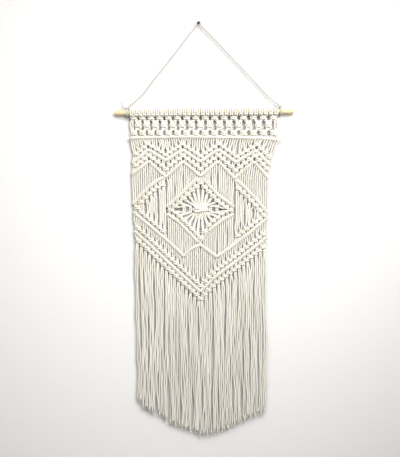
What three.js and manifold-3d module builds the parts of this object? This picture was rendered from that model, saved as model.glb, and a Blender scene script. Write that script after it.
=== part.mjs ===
// Macrame wall hanging on a wooden dowel, hung from a nail by one cord.
// Millimetres, +Z up, +X to the right, front towards -Y. The wall is the plane y = 0.
// The origin is the point where the nail's axis meets the wall.
// Places on the cloth are given by strand (0 at the left edge, 64 at the right) and by
// drop, the distance below the nail.

import * as THREE from "three";
import { mergeVertices } from "three/addons/utils/BufferGeometryUtils.js";
import Module from "manifold-3d";

const wasm = await Module();
wasm.setup();

// ---- driving dimensions ----
const CORD = 4; // thickness of the cotton cord
const STRANDS = 64; // 32 cords, each folded in half over the dowel
const MID = STRANDS / 2;
const CLEARANCE = 0.3; // gap between separate pieces
const HANG_PLANE = -11; // y of the dowel's axis and of the cloth's middle
const CLOTH_CENTRE_X = 4.1;
const DOWEL = {
  diameter: 12,
  left: { x: -202, drop: 215.8 },
  right: { x: 227.5, drop: 211.7 },
  sides: 24,
};
const DOWEL_CHAMFER = 0.8;
const NAIL = { shaft: 2.6, length: 15, head: 6.4, headThickness: 1.4, sides: 16 };

// Half of the cloth's thickness: at a ridge, in the groove beside it, and at a strand's crest,
// beside a bar and at its side.
const HITCH = { halfHeight: 4.6, ridge: 5.2, groove: 3.8 };
const KNOT = { halfHeight: 6, ridge: 5.2, groove: 2.2 };
const STRAND = { crest: 2, besideBar: 1.6, side: 0.8 };

// The cloth splits at its lower zigzag into two half diamonds and a diamond between these strands.
const GROUPS = { left: 16, right: 48 };
// The half diamonds, and the strands that are knotted in them. The pairs outside those hang straight.
const LEFT_HALF = { from: 0, to: GROUPS.left, knottedFrom: 2, knottedTo: GROUPS.left };
const RIGHT_HALF = { from: GROUPS.right, to: STRANDS, knottedFrom: GROUPS.right, knottedTo: 60 };

// ---- the cloth's edges and rows ----

// Columns: drop, left edge x, right edge x.
const EDGES = [
  [245, -166, 191.5],
  [276, -165, 192.5],
  [317, -159.5, 180.5],
  [372, -161.5, 168.5],
  [449, -157.5, 166.5],
  [533, -153, 164],
  [665, -149.5, 163],
  [905, -148, 162],
];

// Bars of double half hitches. Columns: strand, drop.
const TOP_BAR = [[0, 277], [4, 275], [23, 273], [48, 274.5], [60, 277], [64, 281]];
const UPPER_ZIGZAG = [
  [0, 336], [8, 304], [16, 330], [24, 304.5], [32, 333],
  [40, 304], [48, 334.5], [56, 306], [64, 345],
];
const LOWER_ZIGZAG = [
  [0, 364], [8, 332], [16, 369.5], [24, 332.5], [32, 367.5],
  [40, 332.5], [48, 373], [56, 333], [64, 374],
];
const LEFT_SHOULDER = [[0, 436], [3.6, 415.5], [8.5, 391], [12.3, 377], [16, 369.5]];
const RIGHT_SHOULDER = [[48, 373], [52.9, 395], [57.7, 420], [64, 458]];
const DIAMOND_TOP = [[16, 442], [22.4, 413], [27.1, 390], [32, 367.5], [39.8, 410.5], [48, 442]];
const DIAMOND_FOOT = [
  [16, 458], [20.8, 474], [25.6, 498], [32, 532], [36.6, 497], [42.3, 473], [48, 459],
];
const WAIST = [
  [0, 454], [7.8, 487], [17.2, 528], [24, 560], [26.9, 544], [29.4, 537],
  [32, 532], [37.1, 551], [40, 561], [46.3, 539], [55.7, 503], [64, 468],
];
const VEE = [[0, 499], [7.4, 533], [17.1, 578.5], [32, 645], [39.1, 609.5], [48.7, 574.5], [64, 514]];
// The top bar's own cord sticks out at both ends. Columns: strand it comes from, tip's x, tip's drop.
const TOP_BAR_ENDS = [[1, -170.9, 280.3], [63, 202.3, 283.2]];
// Rows of square knots: distances from the bars that they follow, straight down (+) or up (-).
const KNOTS = {
  upperZigzag: -13.5, shoulder: 16, waist: -15, diamondTop: 16, diamondFoot: -16, vee: -15,
};

// Slots between pairs of strands, in strands: half of one in a long field, half of one beside a row
// of knots, and the widest that there is.
const SLOT = { field: 0.2, knots: 0.38, widest: 1.5 };
// A pair's outline in a row beside a bar and in the middle diamond. Columns: strand, half thickness.
const NARROW_PAIR = [[SLOT.knots, STRAND.besideBar], [2 - SLOT.knots, STRAND.besideBar]];
const CRESTED_PAIR = [[SLOT.knots, STRAND.side], [1, STRAND.crest], [2 - SLOT.knots, STRAND.side]];

// Lark's heads over the dowel, as rows from its top to the cloth.
// Columns: distance below the dowel's axis, reach, strands from one point to the next.
const SLEEVE = [[-9.6, 3, 2], [-4.5, 9.2, 1], [4.5, 9.2, 1]];
const SLEEVE_GROOVE = 0.9; // reach between two heads, as a share of that at a strand
const SLEEVE_BORE_SIDES = 8;
// The band under the dowel: three rows of alternating square knots with holes between them.
// Columns: drop, first knotted strand, drop where the row below begins.
const BAND_TOP = 224.5;
const BAND_ROWS = [[230.5, 2, 237.5], [246, 0, 255], [262, 2, 269.5]];
const BAND_STEP = 4; // strands from one knot of a row to the next
const BAND_HOLE = 0.52; // half width of a hole, in strands

// The gathered knot in the middle of the diamond, with its reach at a strand and in the groove beside it.
const SPIDER = {
  x: 4.6, drop: 447.5, halfHeight: 8.5, ridge: 7, groove: 5.6, strandPitch: 2.4, from: 24, to: 40,
};
// How far the pairs beside it bow towards it. Columns: pair's first strand, shift in strands.
const PASSING = [[18, 3.3], [20, 2.8], [22, 3.7], [40, -3.8], [42, -4.3], [44, -4]];

// ---- the fringe ----

// Lower tips. Columns: strand, drop.
const TIPS = [
  [0, 904], [4.4, 930], [12, 944], [17, 965], [28, 981], [33, 993],
  [41, 985], [47, 972], [55.6, 951], [64, 935],
];
const TIP_UNEVENNESS = { height: 6, turn: 2.4 }; // turn from one strand to the next, in radians
// The knotted strip that its roots are fused into: distances below the vee's edge and the vee.
const BACKING = { gap: 0.45, crest: 16, foot: 25 };
const FRINGE_STRAND = { width: 3.6, depth: 3.4, tip: 2.4, steps: 4, halfPitch: 0.4 };
// Its lean to either side, with the drop and the strands over which that turns by one radian.
const SWAY = { reach: 1.3, drop: 57, strands: 5 };
// Places where neighbouring strands part. Columns: strand, drop, width of the parting.
const PARTINGS = [
  [1, 600, 6], [4, 690, 4], [8, 620, 3], [14, 740, 5], [26, 850, 4], [28, 940, 4],
  [38, 820, 6], [44, 760, 4.5], [49, 640, 3], [53, 640, 3], [57, 640, 3], [61, 700, 4],
];
const PARTING_REACH = { strands: 6, drop: 140 };

// ---- the cord it hangs by ----

// From the left tie over the nail to the right one. Columns: x, drop.
const HANGER = [
  [-167.5, 200.9], [-136, 172.8], [-108, 136.8], [-69.8, 88.8], [-32.9, 40.8], [-5.5, 4.5],
  [-2.9, -2.2], [0, -3.6], [2.9, -2.2], [6, 4.4],
  [49, 50.1], [92, 95.7], [135, 141.3], [170, 178.4], [192.9, 197.6],
];
const HANGER_STEPS = 4; // steps of the tube from one point to the next
const CORD_SIDES = 8;
// Where it is tied round the dowel. Columns: node, x, then the end of the loose tail as x, y and drop.
const TIES = [
  ["left_hanger_knot", -171, -186.5, -13, 191],
  ["right_hanger_knot", 196.6, 188, -18.5, 193],
];
const TIE = {
  halfWidth: 3.5, groove: 1, sides: 16, knotRadius: 4.6, knotAbove: 11.2, tailRise: 1, tailSteps: 6,
};

const SAME_POINT = 1e-4; // mm between points that are one
const SAME_STRAND = 1e-6;

// ---- helpers ----

// A column of a table, read between its rows at a place in the first column.
function read(table, at, column = 1) {
  const next = table.findIndex((row) => row[0] >= at);
  if (next === 0) {
    return table[0][column];
  }
  if (next < 0) {
    return table[table.length - 1][column];
  }
  const [low, high] = [table[next - 1], table[next]];
  const share = (at - low[0]) / (high[0] - low[0]);
  return low[column] + share * (high[column] - low[column]);
}

// x of a strand at a drop. The spacing changes evenly from the left edge to the right one.
function strandX(strand, drop) {
  const left = CLOTH_CENTRE_X - read(EDGES, drop, 1);
  const right = read(EDGES, drop, 2) - CLOTH_CENTRE_X;
  const side = strand / MID - 1;
  return CLOTH_CENTRE_X + (side * (right + left)) / 2 + (side * side * (right - left)) / 2;
}

function dowelDrop(x) {
  const share = (x - DOWEL.left.x) / (DOWEL.right.x - DOWEL.left.x);
  return DOWEL.left.drop + share * (DOWEL.right.drop - DOWEL.left.drop);
}

// How much longer an upright cut through a leaning bar is than a cut square to it.
function lean(path, strand) {
  const from = Math.max(strand - 1, path[0][0]);
  const to = Math.min(strand + 1, path[path.length - 1][0]);
  const run = strandX(to, read(path, to)) - strandX(from, read(path, from));
  return Math.hypot(1, (read(path, to) - read(path, from)) / run);
}

// Closed skin over rings of points, each anticlockwise round the direction to the next one.
function loft(rings) {
  const sides = rings[0].length;
  const index = [];
  for (let ring = 0; ring + 1 < rings.length; ring += 1) {
    for (let side = 0; side < sides; side += 1) {
      const a = ring * sides + side;
      const b = ring * sides + ((side + 1) % sides);
      index.push(a, b, b + sides, a, b + sides, a + sides);
    }
  }
  const last = (rings.length - 1) * sides;
  for (let side = 1; side + 1 < sides; side += 1) {
    index.push(0, side + 1, side);
    index.push(last, last + side, last + side + 1);
  }
  const positions = rings.flat().flatMap((corner) => corner.toArray());
  return indexedGeometry(positions, index);
}

function indexedGeometry(positions, index) {
  const geometry = new THREE.BufferGeometry();
  geometry.setAttribute("position", new THREE.Float32BufferAttribute(positions, 3));
  geometry.setIndex(index);
  return geometry;
}

function toSolid(geometry) {
  const bare = geometry.clone();
  bare.deleteAttribute("normal");
  bare.deleteAttribute("uv");
  const merged = mergeVertices(bare, SAME_POINT);
  return new wasm.Manifold(
    new wasm.Mesh({
      numProp: 3,
      vertProperties: new Float32Array(merged.attributes.position.array),
      triVerts: new Uint32Array(merged.index.array),
    }),
  );
}

function toGeometry(solid) {
  const { vertProperties, triVerts } = solid.getMesh();
  return indexedGeometry(vertProperties, Array.from(triVerts));
}

function meshOf(name, geometry, material) {
  const faceted = geometry.index ? geometry.toNonIndexed() : geometry;
  faceted.computeVertexNormals();
  const mesh = new THREE.Mesh(faceted, material);
  mesh.name = name;
  return mesh;
}

// ---- the cloth's skin ----
// The cloth is one sheet of cells between rows of points. Each point has a front and a back,
// `depth` either side of the hang plane. Cells left out are the holes and slots.

function point(strand, drop, depth, x = strandX(strand, drop)) {
  return { strand, x, drop, depth };
}

// A row with a point at every strand, thick on the odd ones.
function crestRow(path, distance, from, to, { ridge, groove }, shared = []) {
  const row = [];
  for (let strand = from; strand <= to; strand += 1) {
    const known = shared.find((other) => other.strand === strand);
    const depth = strand % 2 ? ridge : groove;
    row.push(known ?? point(strand, read(path, strand) + distance, depth));
  }
  return row;
}

// A row of points for each pair of strands, with a gap between the pairs.
function pairRow(dropAt, from, to, outline, xAt = strandX) {
  const row = [];
  for (let strand = from; strand < to; strand += 2) {
    for (const [offset, depth] of outline) {
      const at = strand + offset;
      row.push(point(at, dropAt(at), depth, xAt(at, dropAt(at))));
    }
  }
  return row;
}

function isGap(left, right) {
  const between = (left.strand + right.strand) / 2;
  const isBetweenPairs = Math.abs(between - 2 * Math.round(between / 2)) < SAME_STRAND;
  return isBetweenPairs && right.strand - left.strand < SLOT.widest;
}

class Skin {
  constructor() {
    this.triangles = [];
  }

  // Triangles between two rows. An open strip leaves out those across the gap between two pairs.
  stitch(upper, lower, open = false) {
    let i = 0;
    let j = 0;
    while (i + 1 < upper.length || j + 1 < lower.length) {
      const nextUpper = upper[i + 1]?.strand ?? Infinity;
      const nextLower = lower[j + 1]?.strand ?? Infinity;
      const onUpper = nextUpper <= nextLower + SAME_STRAND;
      const [from, to] = onUpper ? [upper[i], upper[i + 1]] : [lower[j], lower[j + 1]];
      const triangle = [upper[i], lower[j], to];
      if (new Set(triangle).size === 3 && !(open && isGap(from, to))) {
        this.triangles.push(triangle);
      }
      i += onUpper ? 1 : 0;
      j += onUpper ? 0 : 1;
    }
  }

  chain(rows) {
    for (let row = 0; row + 1 < rows.length; row += 1) {
      this.stitch(rows[row].points, rows[row + 1].points, rows[row + 1].open);
    }
  }

  // Strands in pairs from one bar or row down to the next. Where the two run into each other, at a
  // joint, their last points are shared. The rows of points along both edges are returned.
  field(above, below, from, to, joints = [], slot = SLOT.field) {
    const upper = [];
    const lower = [];
    const isJoined = (strand) => joints.some((joint) => strand >= joint - 2 && strand < joint + 2);
    const add = (strand, depth) => {
      const [top, bottom] = [above.edge(strand, 1), below.edge(strand, -1)];
      const middle = (top + bottom) / 2;
      const half = Math.max(bottom - top, 1) / 2;
      upper.push(point(strand, middle - half, depth));
      lower.push(point(strand, middle + half, depth));
    };
    for (let strand = from; strand < to; strand += 2) {
      if (isJoined(strand)) {
        this.close(above, below, strand, joints, upper, lower);
      } else {
        add(strand + (isJoined(strand - 2) && strand > from ? 0 : slot), STRAND.side);
        add(strand + 1, STRAND.crest);
        add(strand + 2 - (isJoined(strand + 2) && strand + 2 < to ? 0 : slot), STRAND.side);
      }
    }
    this.stitch(upper, lower, true);
    return { upper, lower };
  }

  // The shared points of one pair beside a joint.
  close(above, below, strand, joints, upper, lower) {
    for (const at of [strand, strand + 1, strand + 2]) {
      const over = above.points.find((corner) => corner.strand === at);
      const under = below.points.find((corner) => corner.strand === at);
      let shared = null;
      if (at === strand + 1) {
        shared = point(at, (over.drop + under.drop) / 2, KNOT.groove);
      } else if (joints.includes(at) && !upper.includes(over)) {
        shared = over;
      }
      if (shared) {
        upper.push(shared);
        lower.push(shared);
      }
    }
  }

  toGeometry() {
    const numbers = new Map();
    const positions = [];
    const index = [];
    const number = (corner) => {
      if (!numbers.has(corner)) {
        numbers.set(corner, numbers.size * 2);
        positions.push(corner.x, HANG_PLANE - corner.depth, -corner.drop);
        positions.push(corner.x, HANG_PLANE + corner.depth, -corner.drop);
      }
      return numbers.get(corner);
    };
    const edges = new Set();
    for (const triangle of this.triangles) {
      const [a, b, c] = triangle.map(number);
      index.push(a, b, c, a + 1, c + 1, b + 1);
      [[a, b], [b, c], [c, a]].forEach(([p, q]) => edges.add(`${p} ${q}`));
    }
    for (const edge of edges) {
      const [p, q] = edge.split(" ").map(Number);
      if (!edges.has(`${q} ${p}`)) {
        index.push(q, p, p + 1, q, p + 1, q + 1);
      }
    }
    return indexedGeometry(positions, index);
  }
}

// A bar of hitches across the cloth, and a row of knots. `edge` is where strands meet it, from above
// or below.
function hitchBar(path, from, to, shared) {
  return {
    points: crestRow(path, 0, from, to, HITCH, shared),
    edge: (strand, side) => read(path, strand) + side * HITCH.halfHeight * lean(path, strand),
  };
}

function knotRow(path, distance, from, to) {
  return {
    points: crestRow(path, distance, from, to, KNOT),
    edge: (strand, side) => read(path, strand) + distance + side * KNOT.halfHeight,
  };
}

function knotRowBetween(upperPath, lowerPath, from, to) {
  const halfway = (strand) => (read(upperPath, strand) + read(lowerPath, strand)) / 2;
  const path = [];
  for (let strand = from; strand <= to; strand += 1) {
    path.push([strand, halfway(strand)]);
  }
  return knotRow(path, 0, from, to);
}

function slice(row, from, to) {
  return row.filter(({ strand }) => strand >= from && strand <= to);
}

// The pairs of strands close to a bar, above it (-1) or below it (1).
function edgeRow(bar, side, from = 0, to = STRANDS) {
  return pairRow((strand) => bar.edge(strand, side), from, to, NARROW_PAIR);
}

function bandRows() {
  const wholeRow = (step, dropAt, depthAt, xAt) => {
    const row = [];
    for (let strand = 0; strand <= STRANDS; strand += step) {
      const x = xAt ? xAt(strand) : undefined;
      row.push(point(strand, dropAt(strand), depthAt(strand), x));
    }
    return row;
  };
  const rows = SLEEVE.map(([below, reach, step]) => {
    const xAt = (strand) => strandX(strand, EDGES[0][0]);
    const size = (strand) => (strand % 2 ? 1 : SLEEVE_GROOVE);
    const dropAt = (strand) => dowelDrop(xAt(strand)) + below * size(strand);
    return { points: wholeRow(step, dropAt, (strand) => reach * size(strand)) };
  });
  rows.push({ points: wholeRow(2, () => BAND_TOP, () => STRAND.crest) });
  BAND_ROWS.forEach(([drop, first, below]) => {
    const knots = [];
    for (let strand = 0; strand <= STRANDS; strand += 1) {
      const isKnot = (strand - first) % BAND_STEP === 0;
      if (isKnot || strand % 2 || strand < BAND_STEP || strand > STRANDS - BAND_STEP) {
        const depth = isKnot ? KNOT.ridge : KNOT.groove;
        knots.push(point(strand, drop, depth));
      } else {
        knots.push(point(strand - BAND_HOLE, drop, STRAND.side));
        knots.push(point(strand + BAND_HOLE, drop, STRAND.side));
      }
    }
    rows.push({ points: knots, open: true });
    rows.push({ points: wholeRow(2, () => below, () => KNOT.groove), open: true });
  });
  return rows;
}

function clothSkin() {
  const skin = new Skin();
  const top = hitchBar(TOP_BAR, 0, STRANDS);
  const upper = hitchBar(UPPER_ZIGZAG, 0, STRANDS);
  const lower = hitchBar(LOWER_ZIGZAG, 0, STRANDS);
  const waist = hitchBar(WAIST, 0, STRANDS);
  const vee = hitchBar(VEE, 0, STRANDS);

  // From the dowel to the lower zigzag.
  const overUpper = knotRow(UPPER_ZIGZAG, KNOTS.upperZigzag, 0, STRANDS);
  const between = knotRowBetween(UPPER_ZIGZAG, LOWER_ZIGZAG, 0, STRANDS);
  const fan = skin.field(top, overUpper, 0, STRANDS);
  skin.chain([
    ...bandRows(),
    { points: top.points },
    { points: fan.upper },
  ]);
  skin.chain([
    { points: fan.lower },
    { points: overUpper.points, open: true },
    { points: edgeRow(upper, -1), open: true },
    { points: upper.points },
    { points: edgeRow(upper, 1) },
    { points: between.points, open: true },
    { points: edgeRow(lower, -1), open: true },
    { points: lower.points },
  ]);

  // Half diamonds at the sides, the diamond between them, and the fields over and under it.
  const diamondTop = hitchBar(DIAMOND_TOP, GROUPS.left, GROUPS.right, [pick(lower, MID)]);
  const diamondFoot = hitchBar(DIAMOND_FOOT, GROUPS.left, GROUPS.right, [pick(waist, MID)]);
  const left = hitchBar(LEFT_SHOULDER, 0, GROUPS.left, [pick(lower, GROUPS.left)]);
  const right = hitchBar(RIGHT_SHOULDER, GROUPS.right, STRANDS, [pick(lower, GROUPS.right)]);
  const fields = [
    skin.field(lower, left, 0, GROUPS.left, [GROUPS.left]),
    skin.field(lower, diamondTop, GROUPS.left, GROUPS.right, [MID]),
    skin.field(lower, right, GROUPS.right, STRANDS, [GROUPS.right]),
  ];
  skin.stitch(lower.points, fields.flatMap((field) => field.upper));
  [left, diamondTop, right].forEach((bar, number) => skin.stitch(fields[number].lower, bar.points));
  const overWaist = [
    halfDiamond(skin, left, waist, LEFT_SHOULDER, LEFT_HALF),
    diamondToWaist(skin, diamondTop, diamondFoot, waist),
    halfDiamond(skin, right, waist, RIGHT_SHOULDER, RIGHT_HALF),
  ];
  skin.stitch(overWaist.flat(), waist.points);

  // From the waist to the vee that ends the cloth.
  const overVee = knotRow(VEE, KNOTS.vee, 0, STRANDS);
  const skirt = skin.field(waist, overVee, 0, STRANDS);
  skin.stitch(waist.points, skirt.upper);
  const hem = vee.points
    .filter(({ strand }) => strand % 2 === 0)
    .map(({ strand }) => point(strand, vee.edge(strand, 1), STRAND.crest));
  skin.chain([
    { points: skirt.lower },
    { points: overVee.points, open: true },
    { points: edgeRow(vee, -1), open: true },
    { points: vee.points },
    { points: hem },
  ]);
  return skin;
}

function pick(bar, strand) {
  return bar.points.find((corner) => corner.strand === strand);
}

// The rows under a side's bar. Returns the row of points along the waist's upper edge.
function halfDiamond(skin, bar, waist, path, { from, to, knottedFrom, knottedTo }) {
  const under = edgeRow(bar, 1, from, to);
  const over = edgeRow(waist, -1, from, to);
  const knotsAbove = knotRow(path, KNOTS.shoulder, knottedFrom, knottedTo);
  const knotsBelow = knotRow(WAIST, KNOTS.waist, knottedFrom, knottedTo);
  skin.stitch(bar.points, under);
  skin.stitch(slice(under, knottedFrom, knottedTo), knotsAbove.points, true);
  const { upper, lower } = skin.field(knotsAbove, knotsBelow, knottedFrom, knottedTo);
  skin.stitch(knotsAbove.points, upper, true);
  skin.stitch(lower, knotsBelow.points, true);
  skin.stitch(knotsBelow.points, slice(over, knottedFrom, knottedTo), true);
  skin.stitch(slice(under, from, knottedFrom), slice(over, from, knottedFrom), true);
  skin.stitch(slice(under, knottedTo, to), slice(over, knottedTo, to), true);
  return over;
}

// The middle diamond with its gathered knot. Returns the row of points along the waist's upper edge.
function diamondToWaist(skin, diamondTop, diamondFoot, waist) {
  const under = edgeRow(diamondTop, 1, GROUPS.left, GROUPS.right);
  const over = edgeRow(diamondFoot, -1, GROUPS.left, GROUPS.right);
  const [from, to] = [GROUPS.left + 2, GROUPS.right - 2];
  const knotsAbove = knotRow(DIAMOND_TOP, KNOTS.diamondTop, from, to);
  const knotsBelow = knotRow(DIAMOND_FOOT, KNOTS.diamondFoot, from, to);
  skin.stitch(diamondTop.points, under);
  skin.stitch(slice(under, GROUPS.left, from), slice(over, GROUPS.left, from), true);
  skin.stitch(slice(under, to, GROUPS.right), slice(over, to, GROUPS.right), true);
  skin.stitch(slice(under, from, to), knotsAbove.points, true);
  skin.stitch(knotsBelow.points, slice(over, from, to), true);
  skin.stitch(over, diamondFoot.points);

  const leaving = pairRow((strand) => knotsAbove.edge(strand, 1), from, to, CRESTED_PAIR);
  const arriving = pairRow((strand) => knotsBelow.edge(strand, -1), from, to, CRESTED_PAIR);
  skin.stitch(knotsAbove.points, leaving, true);
  skin.stitch(arriving, knotsBelow.points, true);
  const bowedX = (strand, drop) => {
    const [, shift] = PASSING.find(([pair]) => strand > pair && strand < pair + 2);
    return strandX(strand + shift, drop);
  };
  for (const [first, last] of [[from, SPIDER.from], [SPIDER.to, to]]) {
    const beside = pairRow(() => SPIDER.drop, first, last, CRESTED_PAIR, bowedX);
    skin.stitch(slice(leaving, first, last), beside, true);
    skin.stitch(beside, slice(arriving, first, last), true);
  }
  const { halfHeight, ridge, groove, strandPitch } = SPIDER;
  const knotX = (strand) => SPIDER.x + (strand - MID) * strandPitch;
  const ends = [-1, 1].map((side) =>
    pairRow(() => SPIDER.drop + side * halfHeight, SPIDER.from, SPIDER.to, CRESTED_PAIR, knotX),
  );
  const crest = [];
  for (let strand = SPIDER.from; strand <= SPIDER.to; strand += 1) {
    crest.push(point(strand, SPIDER.drop, strand % 2 ? ridge : groove, knotX(strand)));
  }
  skin.stitch(slice(leaving, SPIDER.from, SPIDER.to), ends[0], true);
  skin.stitch(ends[0], crest);
  skin.stitch(crest, ends[1]);
  skin.stitch(ends[1], slice(arriving, SPIDER.from, SPIDER.to), true);

  const field = skin.field(diamondFoot, waist, GROUPS.left, GROUPS.right, [MID]);
  skin.stitch(diamondFoot.points, field.upper);
  return field.lower;
}

function dowelRing(x, radius, sides) {
  const ring = [];
  for (let side = 0; side < sides; side += 1) {
    const angle = ((side + 0.5) * 2 * Math.PI) / sides;
    const y = HANG_PLANE + radius * Math.cos(angle);
    ring.push(new THREE.Vector3(x, y, -dowelDrop(x) + radius * Math.sin(angle)));
  }
  return ring;
}

// ---- the fringe ----

function bump(distance, reach) {
  const share = Math.min(Math.abs(distance) / reach, 1);
  return (1 + Math.cos(Math.PI * share)) / 2;
}

function fringeX(strand, drop) {
  let x = strandX(strand, drop);
  for (const [parting, middle, width] of PARTINGS) {
    const side = Math.sign(strand - parting);
    const beside = Math.max(1 - Math.abs(strand - parting) / PARTING_REACH.strands, 0);
    x += (side * width * beside * bump(drop - middle, PARTING_REACH.drop)) / 2;
  }
  return x + SWAY.reach * Math.sin(drop / SWAY.drop + strand / SWAY.strands);
}

// Free strands with their roots fused into a knotted strip that follows the vee.
function fringeGeometry() {
  const skin = new Skin();
  const vee = hitchBar(VEE, 0, STRANDS);
  const head = vee.points
    .filter(({ strand }) => strand % 2 === 0)
    .map(({ strand }) => point(strand, vee.edge(strand, 1) + BACKING.gap, STRAND.crest));
  const crest = crestRow(VEE, BACKING.crest, 0, STRANDS, KNOT);
  const roots = [];
  for (let number = 0; number < STRANDS; number += 1) {
    const middle = number + 0.5;
    const top = read(VEE, middle) + BACKING.foot;
    const { height, turn } = TIP_UNEVENNESS;
    const bottom = read(TIPS, middle) + height * Math.sin(number * turn);
    let above = null;
    for (let step = 0; step <= FRINGE_STRAND.steps; step += 1) {
      const drop = top + ((bottom - top) * step) / FRINGE_STRAND.steps;
      const isTip = step === FRINGE_STRAND.steps;
      const half = (isTip ? FRINGE_STRAND.tip : FRINGE_STRAND.width) / 2;
      const x = step === 0 ? strandX(middle, drop) : fringeX(middle, drop);
      const row = [-1, 1].map((side) =>
        point(middle + side * FRINGE_STRAND.halfPitch, drop, FRINGE_STRAND.depth / 2, x + side * half),
      );
      if (above) {
        skin.stitch(above, row);
      } else {
        roots.push(...row);
      }
      above = row;
    }
  }
  skin.stitch(head, crest);
  skin.stitch(crest, roots);
  return skin.toGeometry();
}

// ---- the dowel, the nail and the hanging cord ----

function dowelGeometry() {
  const { diameter, left, right, sides } = DOWEL;
  const length = Math.hypot(right.x - left.x, right.drop - left.drop);
  const radius = diameter / 2;
  const profile = [
    [0, 0], [radius - DOWEL_CHAMFER, 0], [radius, DOWEL_CHAMFER],
    [radius, length - DOWEL_CHAMFER], [radius - DOWEL_CHAMFER, length], [0, length],
  ];
  const geometry = new THREE.LatheGeometry(profile.map(([r, y]) => new THREE.Vector2(r, y)), sides);
  geometry.rotateZ(-Math.PI / 2);
  geometry.rotateY(-Math.atan2(left.drop - right.drop, right.x - left.x));
  geometry.translate(left.x, HANG_PLANE, -left.drop);
  return geometry;
}

function nailGeometry() {
  const { shaft, length, head, headThickness, sides } = NAIL;
  const profile = [
    [0, 0], [shaft / 2, 0], [shaft / 2, length],
    [head / 2, length], [head / 2, length + headThickness], [0, length + headThickness],
  ];
  const geometry = new THREE.LatheGeometry(profile.map(([r, y]) => new THREE.Vector2(r, y)), sides);
  return geometry.rotateX(Math.PI);
}

// A curve whose points are as close together as those it is given.
class CordCurve extends THREE.CatmullRomCurve3 {
  getPointAt(share, target) {
    return this.getPoint(share, target);
  }

  getTangentAt(share, target) {
    return this.getTangent(share, target);
  }
}

function tubeAlong(points, steps) {
  const section = new THREE.Shape();
  for (let side = 0; side < CORD_SIDES; side += 1) {
    const angle = (side * 2 * Math.PI) / CORD_SIDES;
    const corner = [(Math.cos(angle) * CORD) / 2, (Math.sin(angle) * CORD) / 2];
    if (side) {
      section.lineTo(...corner);
    } else {
      section.moveTo(...corner);
    }
  }
  const extrudePath = new CordCurve(points, false, "centripetal");
  return new THREE.ExtrudeGeometry(section, { steps, extrudePath, bevelEnabled: false });
}

function hangerGeometry() {
  const points = HANGER.map(([x, drop]) => new THREE.Vector3(x, HANG_PLANE, -drop));
  return tubeAlong(points, (HANGER.length - 1) * HANGER_STEPS);
}

// Two turns of the cord round the dowel, the knot on top of them and its loose tail.
function tieGeometry(x, tailX, tailY, tailDrop) {
  const inner = DOWEL.diameter / 2 + CLEARANCE;
  const outer = inner + CORD;
  const low = outer - TIE.groove;
  const wide = TIE.halfWidth;
  const profile = [
    [inner, -wide], [low, -wide], [outer, -wide / 2], [low, 0],
    [outer, wide / 2], [low, wide], [inner, wide], [inner, -wide],
  ];
  const turns = new THREE.LatheGeometry(profile.map(([r, y]) => new THREE.Vector2(r, y)), TIE.sides);
  turns.rotateZ(Math.PI / 2);
  turns.translate(x, HANG_PLANE, -dowelDrop(x));
  const knotDrop = dowelDrop(x) - TIE.knotAbove;
  const knot = new THREE.IcosahedronGeometry(TIE.knotRadius, 1);
  knot.translate(x, HANG_PLANE, -knotDrop);
  const tail = tubeAlong(
    [
      new THREE.Vector3(x, HANG_PLANE, -knotDrop),
      new THREE.Vector3((x + tailX) / 2, tailY, -knotDrop - TIE.tailRise),
      new THREE.Vector3(tailX, tailY, -tailDrop),
    ],
    TIE.tailSteps,
  );
  return toGeometry(toSolid(turns).add(toSolid(knot)).add(toSolid(tail)));
}

// The end of a bar's own cord, from inside the bar to its cut tip beside the cloth.
function barEnd(strand, tipX, tipDrop) {
  const drop = read(TOP_BAR, strand);
  const inside = new THREE.Vector3(strandX(strand, drop), HANG_PLANE, -drop);
  return tubeAlong([inside, new THREE.Vector3(tipX, HANG_PLANE, -tipDrop)], 1);
}

function clothGeometry() {
  const boreRadius = (DOWEL.diameter / 2 + CLEARANCE) / Math.cos(Math.PI / SLEEVE_BORE_SIDES);
  const ends = [DOWEL.left.x, DOWEL.right.x];
  const bore = loft(ends.map((x) => dowelRing(x, boreRadius, SLEEVE_BORE_SIDES)));
  const cloth = TOP_BAR_ENDS.reduce(
    (solid, end) => solid.add(toSolid(barEnd(...end))),
    toSolid(clothSkin().toGeometry()),
  );
  return toGeometry(cloth.subtract(toSolid(bore)));
}

const cotton = new THREE.MeshStandardMaterial({ color: 0xe9e4d6, roughness: 0.95, metalness: 0 });
const wood = new THREE.MeshStandardMaterial({ color: 0xd9c9a0, roughness: 0.6, metalness: 0 });
const steel = new THREE.MeshStandardMaterial({ color: 0x4a4a4c, roughness: 0.4, metalness: 1 });

const group = new THREE.Group();
group.add(meshOf("macrame_cloth", clothGeometry(), cotton));
group.add(meshOf("fringe", fringeGeometry(), cotton));
group.add(meshOf("dowel", dowelGeometry(), wood));
group.add(meshOf("nail", nailGeometry(), steel));
group.add(meshOf("hanging_cord", hangerGeometry(), cotton));
for (const [name, ...places] of TIES) {
  group.add(meshOf(name, tieGeometry(...places), cotton));
}
export default group;
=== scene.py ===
"""Looks of a knotted cotton wall hanging on a wooden dowel that one cord holds to a nail.

Every strand of the cloth is a twisted cord that follows its own way down: over the dowel in a
lark's head, through square knots, round the bars of double half hitches, and out into the fringe.
Places on the cloth are given by strand (0 at the left edge, 64 at the right) and by drop, the
distance below the nail in millimetres. Routes are worked out in millimetres and built in metres.
"""

import logging
import math
from collections.abc import Callable, Iterable
from dataclasses import dataclass, field
from enum import Enum
from functools import cache
from typing import ClassVar

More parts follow.
